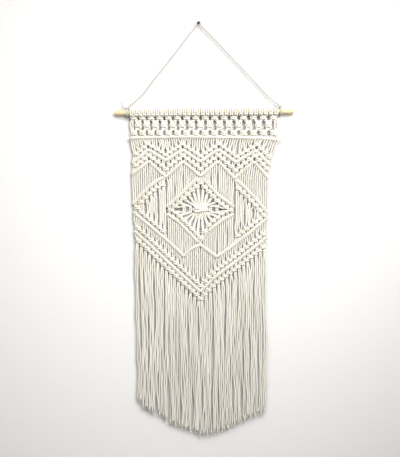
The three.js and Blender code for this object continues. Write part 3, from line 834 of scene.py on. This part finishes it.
@dataclass
class MacrameCloth:
    """The knotted cloth with the fringe that its strands end in."""

    seed: int = 11
    # Columns: drop, middle of the first knot, height and width as shares of the usual ones.
    band_rows: tuple[tuple[float, int, float, float], ...] = (
        (227.6, 2, 1.25, 1.12), (246.0, 4, 2.6, 1.16), (265.2, 2, 1.25, 1.11)
    )
    band_cord: float = 2.75
    band_step: int = 4
    corner_knots: tuple[tuple[int, float], ...] = ((2, 443.7), (62, 461.7), (18, 449.2), (46, 449.1))
    bows: tuple[tuple[int, float], ...] = ((20, 3.2), (22, 4.3), (40, -4.2), (42, -3.2))
    columns: int = 4
    fringe_row_distance: float = 16.0
    # Free ends of the cord in the top bar. Columns: x, forward, drop, cord radius.
    left_end: tuple[tuple[float, ...], ...] = ((-171.5, 0.4, 281.0, 1.7), (-168.3, 0.3, 279.0, 1.9))
    right_end: tuple[tuple[float, ...], ...] = ((197.4, 0.3, 281.8, 1.9), (202.8, 0.4, 283.6, 1.7))
    stations: list[Station] = field(init=False)
    bars: list[HitchBar] = field(init=False)
    fringe_row: list[SquareKnot] = field(init=False)

    def __post_init__(self) -> None:
        """Lays out the bars and knots."""
        every = range(LAYOUT.strands)
        inner = range(2, LAYOUT.strands, 2)
        left_half, right_half = range(16, 31), range(33, 48)
        left_corner, right_corner = range(4, 15, 2), range(50, 61, 2)
        diamond = range(20, 45, 2)
        between = Line(
            tuple((s, (UPPER_ZIGZAG.drop(s) + LOWER_ZIGZAG.drop(s)) / 2) for s in range(LAYOUT.strands + 1))
        )
        self.bars = [
            HitchBar(line, strands)
            for line, strands in (
                (TOP_BAR, every), (UPPER_ZIGZAG, every), (LOWER_ZIGZAG, every),
                (LEFT_SHOULDER, range(0, 15)), (RIGHT_SHOULDER, range(49, 64)),
                (DIAMOND_TOP, left_half), (DIAMOND_TOP, right_half),
                (DIAMOND_FOOT, left_half), (DIAMOND_FOOT, right_half),
                (WAIST, every), (VEE, every),
            )
        ]
        gathered = GatheredKnot()
        self.stations = [*self.bars, gathered]
        for line, distance, middles in (
            (UPPER_ZIGZAG, -13.5, inner), (between, 0, inner),
            (LEFT_SHOULDER, 16, left_corner), (RIGHT_SHOULDER, 16, right_corner),
            (WAIST, -15, left_corner), (WAIST, -15, right_corner),
            (DIAMOND_TOP, 16, diamond), (DIAMOND_FOOT, -16, diamond), (VEE, -15, inner),
        ):
            self.stations += KnotRow(line, distance, middles).knots()
        self.stations += [SquareKnot(middle, drop) for middle, drop in self.corner_knots]
        self.stations += [Bow(first, shift, gathered.drop) for first, shift in self.bows]
        for drop, first, height, width in self.band_rows:
            for middle in range(first, LAYOUT.strands, self.band_step):
                self.stations.append(SquareKnot(middle, drop, height, width, cord=self.band_cord))
        self.fringe_row = KnotRow(VEE, self.fringe_row_distance, inner).knots()

    def build(self) -> None:
        """Meshes the cloth in columns of strands, and its fringe in halves."""
        sway = np.random.default_rng(self.seed)
        head, fringe = LarksHead(), Fringe()
        columns = {f"cloth_strands_{number + 1}": CordMesh() for number in range(self.columns)}
        halves = {"fringe_left": CordMesh(), "fringe_right": CordMesh()}
        for strand in range(LAYOUT.strands):
            column = list(columns.values())[strand * self.columns // LAYOUT.strands]
            half = list(halves.values())[strand * len(halves) // LAYOUT.strands]
            route = Route(strand=strand)
            head.guide(route)
            self._lead(route, self.stations, sway)
            end = len(route.points) - 1
            self._lead(route, self.fringe_row, sway)
            fringe.guide(route, sway)
            tone, turn = sway.uniform(0, 1), sway.uniform(0, TURN)
            length = column.add(route.part(0, end + 1), tone, turn)
            half.add(route.part(end), tone, turn + TURN * length / COTTON_CORD.lay)
            fringe.fray(half, route, tone, sway)
        cores = CordMesh()
        for bar in self.bars:
            cores.add(self._core(bar))
        for name, mesh in (*columns.items(), ("bar_cords", cores)):
            _dress(mesh.build(name), Finish.COTTON, "macrame_cloth")
        for name, mesh in halves.items():
            _dress(mesh.build(name), Finish.COTTON, "fringe")

    def _core(self, bar: HitchBar) -> Route:
        """The cord inside a bar, with free ends where it is the top one.

        Args:
            bar: the bar.

        Returns:
            The cord's route.
        """
        route = bar.core()
        if bar.line is not TOP_BAR:
            return route
        ends = Route()
        for x, forward, drop, radius in self.left_end:
            ends.pass_by(x, forward, drop, radius)
        ends.points += route.points
        ends.radii += route.radii
        ends.steps += route.steps
        for x, forward, drop, radius in self.right_end:
            ends.pass_by(x, forward, drop, radius)
        return ends

    @staticmethod
    def _lead(route: Route, stations: list[Station], sway: np.random.Generator) -> None:
        """Leads a strand through the stations that it meets, from the top down.

        Args:
            route: the strand's route so far.
            stations: knots and bars, in any order.
            sway: source of the small unevenness.
        """
        met = [station for station in stations if route.strand in station.strands]
        for station in sorted(met, key=lambda station: station.drop_of(route.strand)):
            station.guide(route, sway)


@dataclass(frozen=True)
class Fringe:
    """Free strands below the last row of knots, in millimetres."""

    partings: Partings = Partings(
        (
            (2, 679, 5, 190), (4, 643, 3, 80), (6, 761, 4, 110), (9, 689, 4, 150), (14, 713, 4.5, 150),
            (16, 905, 6, 90), (20, 737, 3, 50), (26, 761, 5, 110), (28, 929, 7, 80), (38, 814, 7, 180),
            (44, 718, 5, 120), (50, 665, 4, 70), (52, 917, 5.5, 80), (53, 797, 4.5, 60), (56, 792, 4, 100),
            (60, 833, 4.5, 110), (22, 934, 4.5, 50), (48, 888, 4, 90), (10, 924, 4.5, 60), (62, 760, 3, 80),
            (33, 900, 4, 90), (41, 900, 4.5, 70), (31, 720, 3, 70), (58, 650, 3, 70), (47, 640, 3, 60),
        ),
        reach=3.5,
    )
    # The sideways drift that neighbours share: its depth, and the fall and strands of one radian.
    drift: Place = (1.2, 57, 5)
    tip_unevenness: float = 5.0
    tip_turn: float = 2.4
    first_gap: float = 6
    point_spacing: float = 8.0
    last_gap: float = 4
    settles_over: float = 22
    free_over: float = 160
    # Least and greatest: lengths of a strand's waves, and how far in front it hangs.
    long_wave: tuple[float, float] = (90, 170)
    short_wave: tuple[float, float] = (34, 60)
    lie: tuple[float, float] = (-3.0, 2.2)
    # At the top, and added where the strand is free: depth of the long waves, share of the lie.
    long_depth: tuple[float, float] = (0.2, 0.6)
    lie_share: tuple[float, float] = (0.4, 0.6)
    short_depth: float = 0.4
    nod: float = 1.2
    nod_fall: float = 31
    tip_stray: float = 0.8
    tip_forward: float = 0.5
    cord: float = 2.7
    cut_cord: float = 2.0
    tuft: int = 7
    tuft_length: float = 8.0
    yarn_radius: float = 0.62
    yarn_taper: float = 0.7
    yarn_turn: float = 0.4
    yarn_start: float = 0.9
    yarn_curl: float = 1.5
    yarn_step: float = 3.0
    yarn_places: tuple[float, ...] = (-0.25, 0.3, 0.65, 1.0)
    # Least and greatest: how far a yarn leans out, and its share of the tuft's length.
    yarn_lean: tuple[float, float] = (0.6, 2.4)
    yarn_share: tuple[float, float] = (0.45, 1.0)

    def x(self, strand: float, drop: float) -> float:
        """Place across the cloth of a free strand.

        Args:
            strand: place in strands from the left edge.
            drop: distance below the nail.

        Returns:
            The x coordinate in millimetres.
        """
        x = LAYOUT.x(strand, drop) + self.partings.shift(strand, drop)
        depth, fall, strands = self.drift
        return x + depth * math.sin(drop / fall + strand / strands)

    def guide(self, route: Route, sway: np.random.Generator) -> None:
        """Leads a strand's route down to its tip, in shallow waves.

        Args:
            route: the strand's route so far.
            sway: source of the waves.
        """
        middle = route.strand + 0.5
        start_x, top = route.points[-1][0], -route.points[-1][2]
        stray = self.tip_unevenness * math.sin(route.strand * self.tip_turn)
        tip = TIPS.drop(middle) + stray - self.tuft_length
        phases = sway.uniform(0, TURN, 3)
        long_wave, short_wave = sway.uniform(*self.long_wave), sway.uniform(*self.short_wave)
        lie = sway.uniform(*self.lie)
        for drop in np.arange(top + self.first_gap, tip - self.last_gap, self.point_spacing):
            settled = min((drop - top) / self.settles_over, 1)
            freedom = min((drop - top) / self.free_over, 1)
            x = self.x(middle, float(drop))
            x += self.short_depth * math.sin(drop * TURN / short_wave + phases[0])
            depth = self.long_depth[0] + self.long_depth[1] * freedom
            x += depth * math.sin(drop * TURN / long_wave + phases[1])
            nod = self.nod * math.sin(drop / self.nod_fall + phases[2])
            forward = (lie * (self.lie_share[0] + self.lie_share[1] * freedom) + nod) * settled
            route.pass_by(start_x + (x - start_x) * settled, forward, float(drop), radius=self.cord)
        end_x = self.x(middle, tip) + sway.normal(0, self.tip_stray)
        route.pass_by(end_x, self.tip_forward, tip, radius=self.cut_cord)

    def fray(self, mesh: CordMesh, route: Route, tone: float, sway: np.random.Generator) -> None:
        """Adds the loosened yarns of a strand's cut end.

        Args:
            mesh: the piece that they go into.
            route: the strand's route.
            tone: the strand's shade.
            sway: source of their unevenness.
        """
        x, y, z = route.points[-1]
        for yarn in range(self.tuft):
            angle = TURN * yarn / self.tuft + sway.uniform(-self.yarn_turn, self.yarn_turn)
            lean = sway.uniform(*self.yarn_lean)
            fall = self.tuft_length * sway.uniform(*self.yarn_share)
            out = np.array((math.cos(angle), math.sin(angle)))
            loose = Route()
            for share in self.yarn_places:
                free = max(share, 0)
                aside = out * (self.yarn_start + lean * free**self.yarn_curl)
                loose.points.append((x + aside[0], y + aside[1], z - fall * share))
                loose.radii.append(self.yarn_radius * (1 - self.yarn_taper * free))
                loose.steps.append(self.yarn_step)
            mesh.add(loose, tone)


# ---- hard pieces and the hanging cord ----


def _select_faces(piece: bpy.types.Object, chosen: Callable[[bmesh.types.BMFace], bool]) -> None:
    """Selects faces of the piece that is in edit mode, and nothing else.

    Args:
        piece: the piece in edit mode.
        chosen: says of a face whether it is selected.
    """
    bpy.ops.mesh.select_all(action="DESELECT")
    mesh = bmesh.from_edit_mesh(piece.data)
    for face in mesh.faces:
        face.select_set(chosen(face))
    bmesh.update_edit_mesh(piece.data)


@dataclass(frozen=True)
class Dowel:
    """The round wooden rod, with broken edges at its sawn ends, in millimetres."""

    sides: int = 64
    bevel: float = 0.9
    smooth_angle: float = 35

    def build(self) -> None:
        """Models the rod in its place."""
        left, right = (
            Vector((x, LAYOUT.hang_plane, -drop)) * MM for x, drop in (LAYOUT.dowel_left, LAYOUT.dowel_right)
        )
        along = right - left
        bpy.ops.object.select_all(action="DESELECT")
        bpy.ops.mesh.primitive_cylinder_add(
            vertices=self.sides,
            radius=LAYOUT.dowel_radius * MM,
            depth=along.length,
            location=(left + right) / 2,
            rotation=along.to_track_quat("Z", "Y").to_euler(),
        )
        rod = bpy.context.active_object
        rod.name = rod.data.name = "wooden_dowel"
        bpy.ops.object.mode_set(mode="EDIT")
        _select_faces(rod, lambda face: len(face.verts) > 4)
        bpy.ops.mesh.bevel(offset=self.bevel * MM, segments=3, affect="EDGES")
        bpy.ops.object.mode_set(mode="OBJECT")
        bpy.ops.object.transform_apply(location=True, rotation=True, scale=True)
        bpy.ops.object.shade_smooth_by_angle(angle=math.radians(self.smooth_angle))
        _dress(rod, Finish.BIRCH, "dowel")


@dataclass(frozen=True)
class Nail:
    """The wire nail in the wall, with its flat head in front of the cord, in millimetres."""

    shaft_radius: float = 1.3
    length: float = 15.0
    head_radius: float = 3.2
    head_thickness: float = 1.4
    rim: float = 0.35
    dish_inset: float = 1.6
    dish_depth: float = 0.25
    sides: int = 32
    facing: float = 0.9
    smooth_angle: float = 40

    def build(self) -> None:
        """Models the head, and draws the shaft out of its back."""
        bpy.ops.object.select_all(action="DESELECT")
        bpy.ops.mesh.primitive_cylinder_add(
            vertices=self.sides,
            radius=self.head_radius * MM,
            depth=self.head_thickness * MM,
            location=(0, -(self.length + self.head_thickness / 2) * MM, 0),
            rotation=(math.pi / 2, 0, 0),
        )
        nail = bpy.context.active_object
        nail.name = nail.data.name = "wall_nail"
        bpy.ops.object.transform_apply(location=True, rotation=True, scale=True)
        bpy.ops.object.mode_set(mode="EDIT")
        _select_faces(nail, lambda face: face.normal.y > self.facing)
        bpy.ops.mesh.inset(thickness=(self.head_radius - self.shaft_radius) * MM)
        bpy.ops.mesh.extrude_region_move(TRANSFORM_OT_translate={"value": (0, self.length * MM, 0)})
        _select_faces(nail, lambda face: face.normal.y < -self.facing)
        bpy.ops.mesh.bevel(offset=self.rim * MM, segments=3, affect="EDGES")
        _select_faces(nail, lambda face: face.normal.y < -self.facing and len(face.verts) > 4)
        bpy.ops.mesh.inset(thickness=self.dish_inset * MM)
        bpy.ops.transform.translate(value=(0, -self.dish_depth * MM, 0))
        bpy.ops.object.mode_set(mode="OBJECT")
        bpy.ops.object.shade_smooth_by_angle(angle=math.radians(self.smooth_angle))
        _dress(nail, Finish.BLACKENED_STEEL, "nail")


@dataclass(frozen=True)
class HangingCord:
    """The cord from the left tie over the nail to the right tie."""

    course: tuple[tuple[float, float], ...] = (
        (-167.5, 200.9), (-136, 172.8), (-108, 136.8), (-69.8, 88.8), (-32.9, 40.8), (-5.5, 4.5),
        (-2.9, -2.2), (0, -3.6), (2.9, -2.2), (6, 4.4),
        (49, 50.1), (92, 95.7), (135, 141.3), (170, 178.4), (192.9, 197.6),
    )
    step: float = 1.6
    tone: ClassVar[float] = 0.55

    def build(self) -> None:
        route = Route()
        for x, drop in self.course:
            route.pass_by(x, 0.0, drop, step=self.step)
        mesh = CordMesh()
        length = mesh.add(route, self.tone)
        cord = mesh.build("hanging_cord_twist")
        _dress(cord, Finish.SHADE_PAINTED_COTTON, "hanging_cord")
        LOG.info("hanging cord is %.0f mm long", length)


@dataclass(frozen=True)
class HangerTie:
    """One end of the hanging cord, tied round the dowel, in millimetres.

    Args:
        name: name of the piece.
        node: the CAD node that it stands for.
        x: place along the dowel.
        arrival: x and drop where the hanging cord meets the knot.
        tail: x, forward and drop of the loose end.
    """

    name: str
    node: str
    x: float
    arrival: tuple[float, float]
    tail: Place
    knot_above: float = 11.2
    # Angles in degrees, first, last and step: on the dowel from its front over its top, and
    # round the knot from its back.
    turns: tuple[int, int, int] = (50, -640, -36)
    wrap: tuple[int, int, int] = (-60, 300, 40)
    turn_reach: float = 8.2
    turns_width: float = 3.8
    wrap_reach: float = 3.1
    wrap_drop: float = 0.6
    wrap_climb: float = 1.3
    # Cord radius, and distance between rings of the mesh.
    knot_cord: tuple[float, float] = (1.8, 1.4)
    turn_cord: tuple[float, float] = (1.85, 1.4)
    wrap_cord: tuple[float, float] = (1.7, 1.2)
    # Into the knot. Columns: towards the hanging cord, forward, below the knot's middle.
    entry: tuple[Place, ...] = ((1.5, 0.6, -0.6), (-1.6, 2.4, 2.0))

    def build(self) -> None:
        """Meshes the turns, the knot on top of them and the loose end."""
        axis = LAYOUT.dowel_drop(self.x)
        knot = axis - self.knot_above
        side = 1 if self.arrival[0] > self.x else -1
        route = Route()
        route.pass_by(self.arrival[0] - side * 0.5, 0.0, self.arrival[1] + 0.4, radius=1.9, step=1.4)
        for across, forward, below in self.entry:
            route.pass_by(self.x + side * across, forward, knot + below, *self.knot_cord)
        first, last, _ = self.turns
        for turn in np.arange(*self.turns):
            angle = math.radians(float(turn))
            across = -side * self.turns_width / 2 + side * self.turns_width * (first - turn) / (first - last)
            forward, above = self.turn_reach * math.cos(angle), self.turn_reach * math.sin(angle)
            route.pass_by(self.x + across, forward, axis - above, *self.turn_cord)
        first, last, _ = self.wrap
        for turn in np.arange(*self.wrap):
            angle = math.radians(float(turn))
            drop = knot + self.wrap_drop - self.wrap_climb * (turn - first) / (last - first)
            x = self.x + side * self.wrap_reach * math.sin(angle)
            route.pass_by(x, -self.wrap_reach * math.cos(angle), drop, *self.wrap_cord)
        tail_x, tail_forward, tail_drop = self.tail
        route.pass_by((self.x + tail_x) / 2, tail_forward * 0.8, knot - 0.4, radius=1.8, step=1.6)
        route.pass_by((self.x + 3 * tail_x) / 4, tail_forward, (knot + tail_drop) / 2, radius=1.9, step=1.8)
        route.pass_by(tail_x, tail_forward, tail_drop, radius=1.8, step=1.8)
        mesh = CordMesh()
        mesh.add(route, HangingCord.tone)
        _dress(mesh.build(self.name), Finish.SHADE_PAINTED_COTTON, self.node)


# ---- finishes ----


def linear(colour: str) -> tuple[float, float, float, float]:
    """Turns an sRGB hex colour into Blender's linear one."""
    channels = [int(colour[i : i + 2], 16) / 255 for i in (1, 3, 5)]
    return tuple(c / 12.92 if c <= 0.04045 else ((c + 0.055) / 1.055) ** 2.4 for c in channels) + (1.0,)


class NodeTree:
    """A new material's nodes.

    Args:
        name: the material's name.
    """

    def __init__(self, name: str) -> None:
        """Starts a material with only its shader and output."""
        self.material = bpy.data.materials.new(name)
        self.material.use_nodes = True
        self.tree = self.material.node_tree
        self.shader = self.tree.nodes["Principled BSDF"]

    def add(
        self, kind: str, *numbered: object, named: dict[str, object] | None = None, **settings: object
    ) -> bpy.types.Node:
        """Adds a node with its settings, input values and links.

        Args:
            kind: the node's type.
            numbered: values of its first inputs, or the output sockets linked to them.
            named: the same for other inputs, by their names.
            settings: the node's own properties.

        Returns:
            The node.
        """
        node = self.tree.nodes.new(kind)
        for name, value in settings.items():
            setattr(node, name, value)
        for key, value in [*enumerate(numbered), *(named or {}).items()]:
            self.feed(node.inputs[key], value)
        return node

    def feed(self, socket: bpy.types.NodeSocket, value: object) -> None:
        """Links an output to a socket, or sets the socket's value."""
        if isinstance(value, bpy.types.NodeSocket):
            self.tree.links.new(value, socket)
        else:
            socket.default_value = value

    def finish(self, sockets: dict[str, object]) -> bpy.types.Material:
        """Feeds the shader's sockets.

        Args:
            sockets: socket name to a value, or to the output linked to it.

        Returns:
            The material.
        """
        for name, value in sockets.items():
            self.feed(self.shader.inputs[name], value)
        return self.material


@dataclass(frozen=True)
class TwistedCotton:
    """Natural cotton cord, carded and laid up in three plies: matt, with soft fibres, and painted shade that
    darkens the grooves between the plies.
    """

    name: str = "natural_cotton_cord"
    light: str = "#eae8e1"
    dark: str = "#e2ded3"
    # Colour of the painted shade in the grooves between the plies, and how much of it is mixed in.
    groove_shade: str = "#8f8068"
    groove_shade_share: float = 0.4
    groove_shade_end: float = 0.1
    shade_range: tuple[float, float] = (0.3, 1.5)
    fibre_range: tuple[float, float] = (0.35, 0.65)
    fibre_least: float = 0.6
    ply_relief: float = 0.5
    bump: float = 0.55
    fibre_width_mm: float = 0.25
    fibres_per_metre: float = 260.0
    blotch_mm: float = 60.0
    relief_mm: float = 0.35
    roughness: float = 0.95
    specular: float = 0.2
    sheen: tuple[float, float] = (0.25, 0.6)

    def make(self) -> bpy.types.Material:
        """Makes the material, which follows the cord by its own UV map.

        Returns:
            The material.
        """
        nodes = NodeTree(self.name)
        uv = nodes.add("ShaderNodeUVMap", uv_map="lay").outputs[0]
        around = nodes.add("ShaderNodeSeparateXYZ", uv).outputs[0]
        angle = nodes.add("ShaderNodeMath", around, TURN * COTTON_CORD.plies, operation="MULTIPLY").outputs[0]
        crest = nodes.add("ShaderNodeMath", angle, operation="COSINE").outputs[0]
        # Painted shade: a mask that is full deep in the grooves between the plies and fades out towards their
        # crests.
        groove_shade_mask = nodes.add("ShaderNodeMapRange", crest, -1.0, self.groove_shade_end, 1.0, 0.0).outputs[0]
        # Fibres run along the cord: fine across it, long along it.
        stretch = (TURN * COTTON_CORD.radius / self.fibre_width_mm, self.fibres_per_metre, 1.0)
        stretched = nodes.add("ShaderNodeVectorMath", uv, stretch, operation="MULTIPLY").outputs[0]
        texture = {"Vector": stretched, "Scale": 1.0, "Detail": 3.0, "Roughness": 0.6}
        fibres = nodes.add("ShaderNodeTexNoise", named=texture).outputs["Fac"]
        place = nodes.add("ShaderNodeTexCoord").outputs["Object"]
        clouds = {"Vector": place, "Scale": 1000 / self.blotch_mm, "Detail": 3.0}
        blotch = nodes.add("ShaderNodeTexNoise", named=clouds).outputs["Fac"]
        tone = nodes.add("ShaderNodeAttribute", attribute_name="tone").outputs["Fac"]
        mixed = nodes.add("ShaderNodeMath", tone, blotch, operation="ADD").outputs[0]
        share = nodes.add("ShaderNodeMapRange", mixed, *self.shade_range, 0.0, 1.0).outputs[0]
        shades = {"Factor": share, "A": linear(self.dark), "B": linear(self.light)}
        cotton = nodes.add("ShaderNodeMix", named=shades, data_type="RGBA").outputs["Result"]
        speck = nodes.add("ShaderNodeMapRange", fibres, *self.fibre_range, self.fibre_least, 1.0).outputs[0]
        depth = nodes.add("ShaderNodeMath", groove_shade_mask, speck, operation="MULTIPLY").outputs[0]
        shaded = nodes.add("ShaderNodeMath", depth, self.groove_shade_share, operation="MULTIPLY").outputs[0]
        # Mixes the painted groove shade, broken up by the fibres, into the cotton's colour.
        groove_shading = {"Factor": shaded, "A": cotton, "B": linear(self.groove_shade)}
        colour = nodes.add("ShaderNodeMix", named=groove_shading, data_type="RGBA").outputs["Result"]
        ply = nodes.add("ShaderNodeMath", crest, self.ply_relief, operation="MULTIPLY").outputs[0]
        height = nodes.add("ShaderNodeMath", ply, fibres, operation="ADD").outputs[0]
        relief = {"Height": height, "Strength": self.bump, "Distance": self.relief_mm * MM}
        bump = nodes.add("ShaderNodeBump", named=relief).outputs[0]
        weight, sheen_roughness = self.sheen
        return nodes.finish({
            "Base Color": colour, "Normal": bump, "Roughness": self.roughness,
            "Specular IOR Level": self.specular, "Sheen Weight": weight, "Sheen Roughness": sheen_roughness,
        })


@dataclass(frozen=True)
class PaleWood:
    """Birch dowel, turned and sanded, untreated: matt, with fine long grain."""

    light: str = "#e6d9b8"
    grain: str = "#bfa878"
    grain_mm: float = 0.9
    grain_length_mm: float = 70.0
    grain_range: tuple[float, float] = (0.4, 0.72)
    relief_mm: float = 0.15
    bump: float = 0.25
    roughness: float = 0.62

    def make(self) -> bpy.types.Material:
        """Makes the material, whose grain runs along the dowel.

        Returns:
            The material.
        """
        nodes = NodeTree("sanded_birch")
        place = nodes.add("ShaderNodeTexCoord").outputs["Object"]
        fine, long = 1000 / self.grain_mm, 1000 / self.grain_length_mm
        stretch = (long, fine, fine)
        stretched = nodes.add("ShaderNodeVectorMath", place, stretch, operation="MULTIPLY").outputs[0]
        texture = {"Vector": stretched, "Scale": 1.0, "Detail": 5.0, "Roughness": 0.65}
        grain = nodes.add("ShaderNodeTexNoise", named=texture).outputs["Fac"]
        share = nodes.add("ShaderNodeMapRange", grain, *self.grain_range, 0.0, 1.0).outputs[0]
        shades = {"Factor": share, "A": linear(self.light), "B": linear(self.grain)}
        colour = nodes.add("ShaderNodeMix", named=shades, data_type="RGBA").outputs["Result"]
        relief = {"Height": grain, "Strength": self.bump, "Distance": self.relief_mm * MM}
        bump = nodes.add("ShaderNodeBump", named=relief).outputs[0]
        return nodes.finish({"Base Color": colour, "Normal": bump, "Roughness": self.roughness})


@dataclass(frozen=True)
class DarkSteel:
    """Drawn wire nail, blackened: dull metal with slightly uneven gloss."""

    base: str = "#3a3a3c"
    spots_per_metre: float = 900.0
    spot_range: tuple[float, float] = (0.3, 0.7)
    roughness: tuple[float, float] = (0.35, 0.55)
    metallic: float = 0.9

    def make(self) -> bpy.types.Material:
        """Makes the material.

        Returns:
            The material.
        """
        nodes = NodeTree("blackened_steel_wire")
        place = nodes.add("ShaderNodeTexCoord").outputs["Object"]
        texture = {"Vector": place, "Scale": self.spots_per_metre, "Detail": 3.0}
        spots = nodes.add("ShaderNodeTexNoise", named=texture).outputs["Fac"]
        gloss = nodes.add("ShaderNodeMapRange", spots, *self.spot_range, *self.roughness).outputs[0]
        return nodes.finish({"Base Color": linear(self.base), "Metallic": self.metallic, "Roughness": gloss})


@dataclass(frozen=True)
class WallPaint:
    """White emulsion paint, see-through from behind, so that the hanging's back can be looked at."""

    base: str = "#dfdedc"
    roughness: float = 0.9

    def make(self, name: str) -> bpy.types.Material:
        """Makes the material.

        Args:
            name: the material's name.

        Returns:
            The material.
        """
        nodes = NodeTree(name)
        behind = nodes.add("ShaderNodeNewGeometry").outputs["Backfacing"]
        clear = nodes.add("ShaderNodeBsdfTransparent").outputs[0]
        mixed = nodes.add("ShaderNodeMixShader", behind, nodes.shader.outputs[0], clear).outputs[0]
        nodes.feed(nodes.tree.nodes["Material Output"].inputs["Surface"], mixed)
        return nodes.finish({"Base Color": linear(self.base), "Roughness": self.roughness})


class Finish(Enum):
    """Finishes of the pieces."""

    COTTON = TwistedCotton()
    # A greyer copy of the same cotton for the hanging cord and its ties: its grey is painted shade that
    # stands in for the thin cord's shaded side, not a colour of its own.
    SHADE_PAINTED_COTTON = TwistedCotton("grey_shade_painted_cotton_cord", light="#cbc8c3", dark="#c0bcb6", groove_shade="#98948d")
    BIRCH = PaleWood()
    BLACKENED_STEEL = DarkSteel()


@cache
def _material(finish: Finish) -> bpy.types.Material:
    """A finish's material, made when it is first asked for."""
    return finish.value.make()


def _dress(piece: bpy.types.Object, finish: Finish, node: str) -> None:
    """Gives a piece its finish and its place in the frame.

    Args:
        piece: the finished mesh.
        finish: its finish.
        node: the CAD node that the piece stands for.
    """
    piece.data.materials.clear()
    piece.data.materials.append(_material(finish))
    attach(piece, ROOT)
    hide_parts(node)
    triangles = sum(len(face.vertices) - 2 for face in piece.data.polygons)
    LOG.info("%s: %d triangles", piece.name, triangles)


# ---- camera, lights and backdrop ----


@dataclass(frozen=True)
class Studio:
    """A camera straight in front, two soft lights, and a pale wall and floor, in metres."""

    frame_height: float = 1.0968
    centre: tuple[float, float] = (0.0031, -0.4932)
    distance: float = 3.0
    sensor: float = 36.0
    # Columns: name, place, diameter, power in watts.
    lights: tuple[tuple[str, Place, float, float], ...] = (
        ("window_light", (0.5, -1.5, 0.3), 1.5, 8.7),
        ("fill_light", (-0.7, -2.3, 1.9), 2.6, 9.0),
    )
    aim: Place = (0, 0, -0.31)
    spread: float = 70
    daylight: tuple[str, float] = ("#f8f7f5", 0.4)
    gamma: float = 0.85
    sheet_size: float = 8
    # Columns: name, place, turn.
    sheets: tuple[tuple[str, Place, Place], ...] = (
        ("backdrop_wall", (0, 0.0008, 0.4), (math.pi / 2, 0, 0)),
        ("pale_floor", (0, -3, -1.6), (0, 0, 0)),
    )

    def build(self) -> None:
        """Sets the camera up, then the lights and the backdrop."""
        self._camera()
        self._lights()
        self._backdrop()

    def _camera(self) -> None:
        """Aims the camera at the middle of the hanging."""
        data = bpy.data.cameras.new("camera")
        data.sensor_width = self.sensor
        data.lens = self.sensor * self.distance / self.frame_height
        camera = bpy.data.objects.new("camera", data)
        x, z = self.centre
        camera.location = (x, LAYOUT.hang_plane * MM - self.distance, z)
        camera.rotation_euler = (math.pi / 2, 0, 0)
        bpy.context.scene.collection.objects.link(camera)
        bpy.context.scene.camera = camera

    def _lights(self) -> None:
        """Hangs the lights in front and lets the world fill in."""
        for name, place, size, power in self.lights:
            data = bpy.data.lights.new(name, "AREA")
            data.shape = "DISK"
            data.size = size
            data.energy = power
            data.spread = math.radians(self.spread)
            light = bpy.data.objects.new(name, data)
            light.location = place
            light.rotation_euler = (Vector(self.aim) - Vector(place)).to_track_quat("-Z", "Y").to_euler()
            bpy.context.scene.collection.objects.link(light)
        bpy.context.scene.view_settings.view_transform = "Standard"
        bpy.context.scene.view_settings.gamma = self.gamma
        world = bpy.data.worlds.new("soft_daylight")
        world.use_nodes = True
        colour, strength = self.daylight
        sky = world.node_tree.nodes["Background"]
        sky.inputs["Color"].default_value = linear(colour)
        sky.inputs["Strength"].default_value = strength
        bpy.context.scene.world = world

    def _backdrop(self) -> None:
        """Stands a pale wall behind the hanging and lays a pale floor below it."""
        for name, place, turn in self.sheets:
            bpy.ops.object.select_all(action="DESELECT")
            bpy.ops.mesh.primitive_plane_add(size=self.sheet_size, location=place, rotation=turn)
            sheet = bpy.context.active_object
            sheet.name = sheet.data.name = name
            bpy.ops.object.transform_apply(location=True, rotation=True, scale=True)
            sheet.data.materials.append(WallPaint().make(f"matt_emulsion_{name}"))


def main() -> None:
    """Builds the studio and every piece of the wall hanging."""
    logging.basicConfig(level=logging.INFO, format="%(name)s: %(message)s")
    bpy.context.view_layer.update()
    Studio().build()
    HangingCord().build()
    HangerTie("left_tie", "left_hanger_knot", -171.0, (-167.5, 200.9), (-186.5, 2.0, 191.0)).build()
    HangerTie("right_tie", "right_hanger_knot", 196.6, (192.9, 197.6), (188.0, 7.5, 193.0)).build()
    Dowel().build()
    Nail().build()
    MacrameCloth().build()


if __name__ == "__main__":
    main()
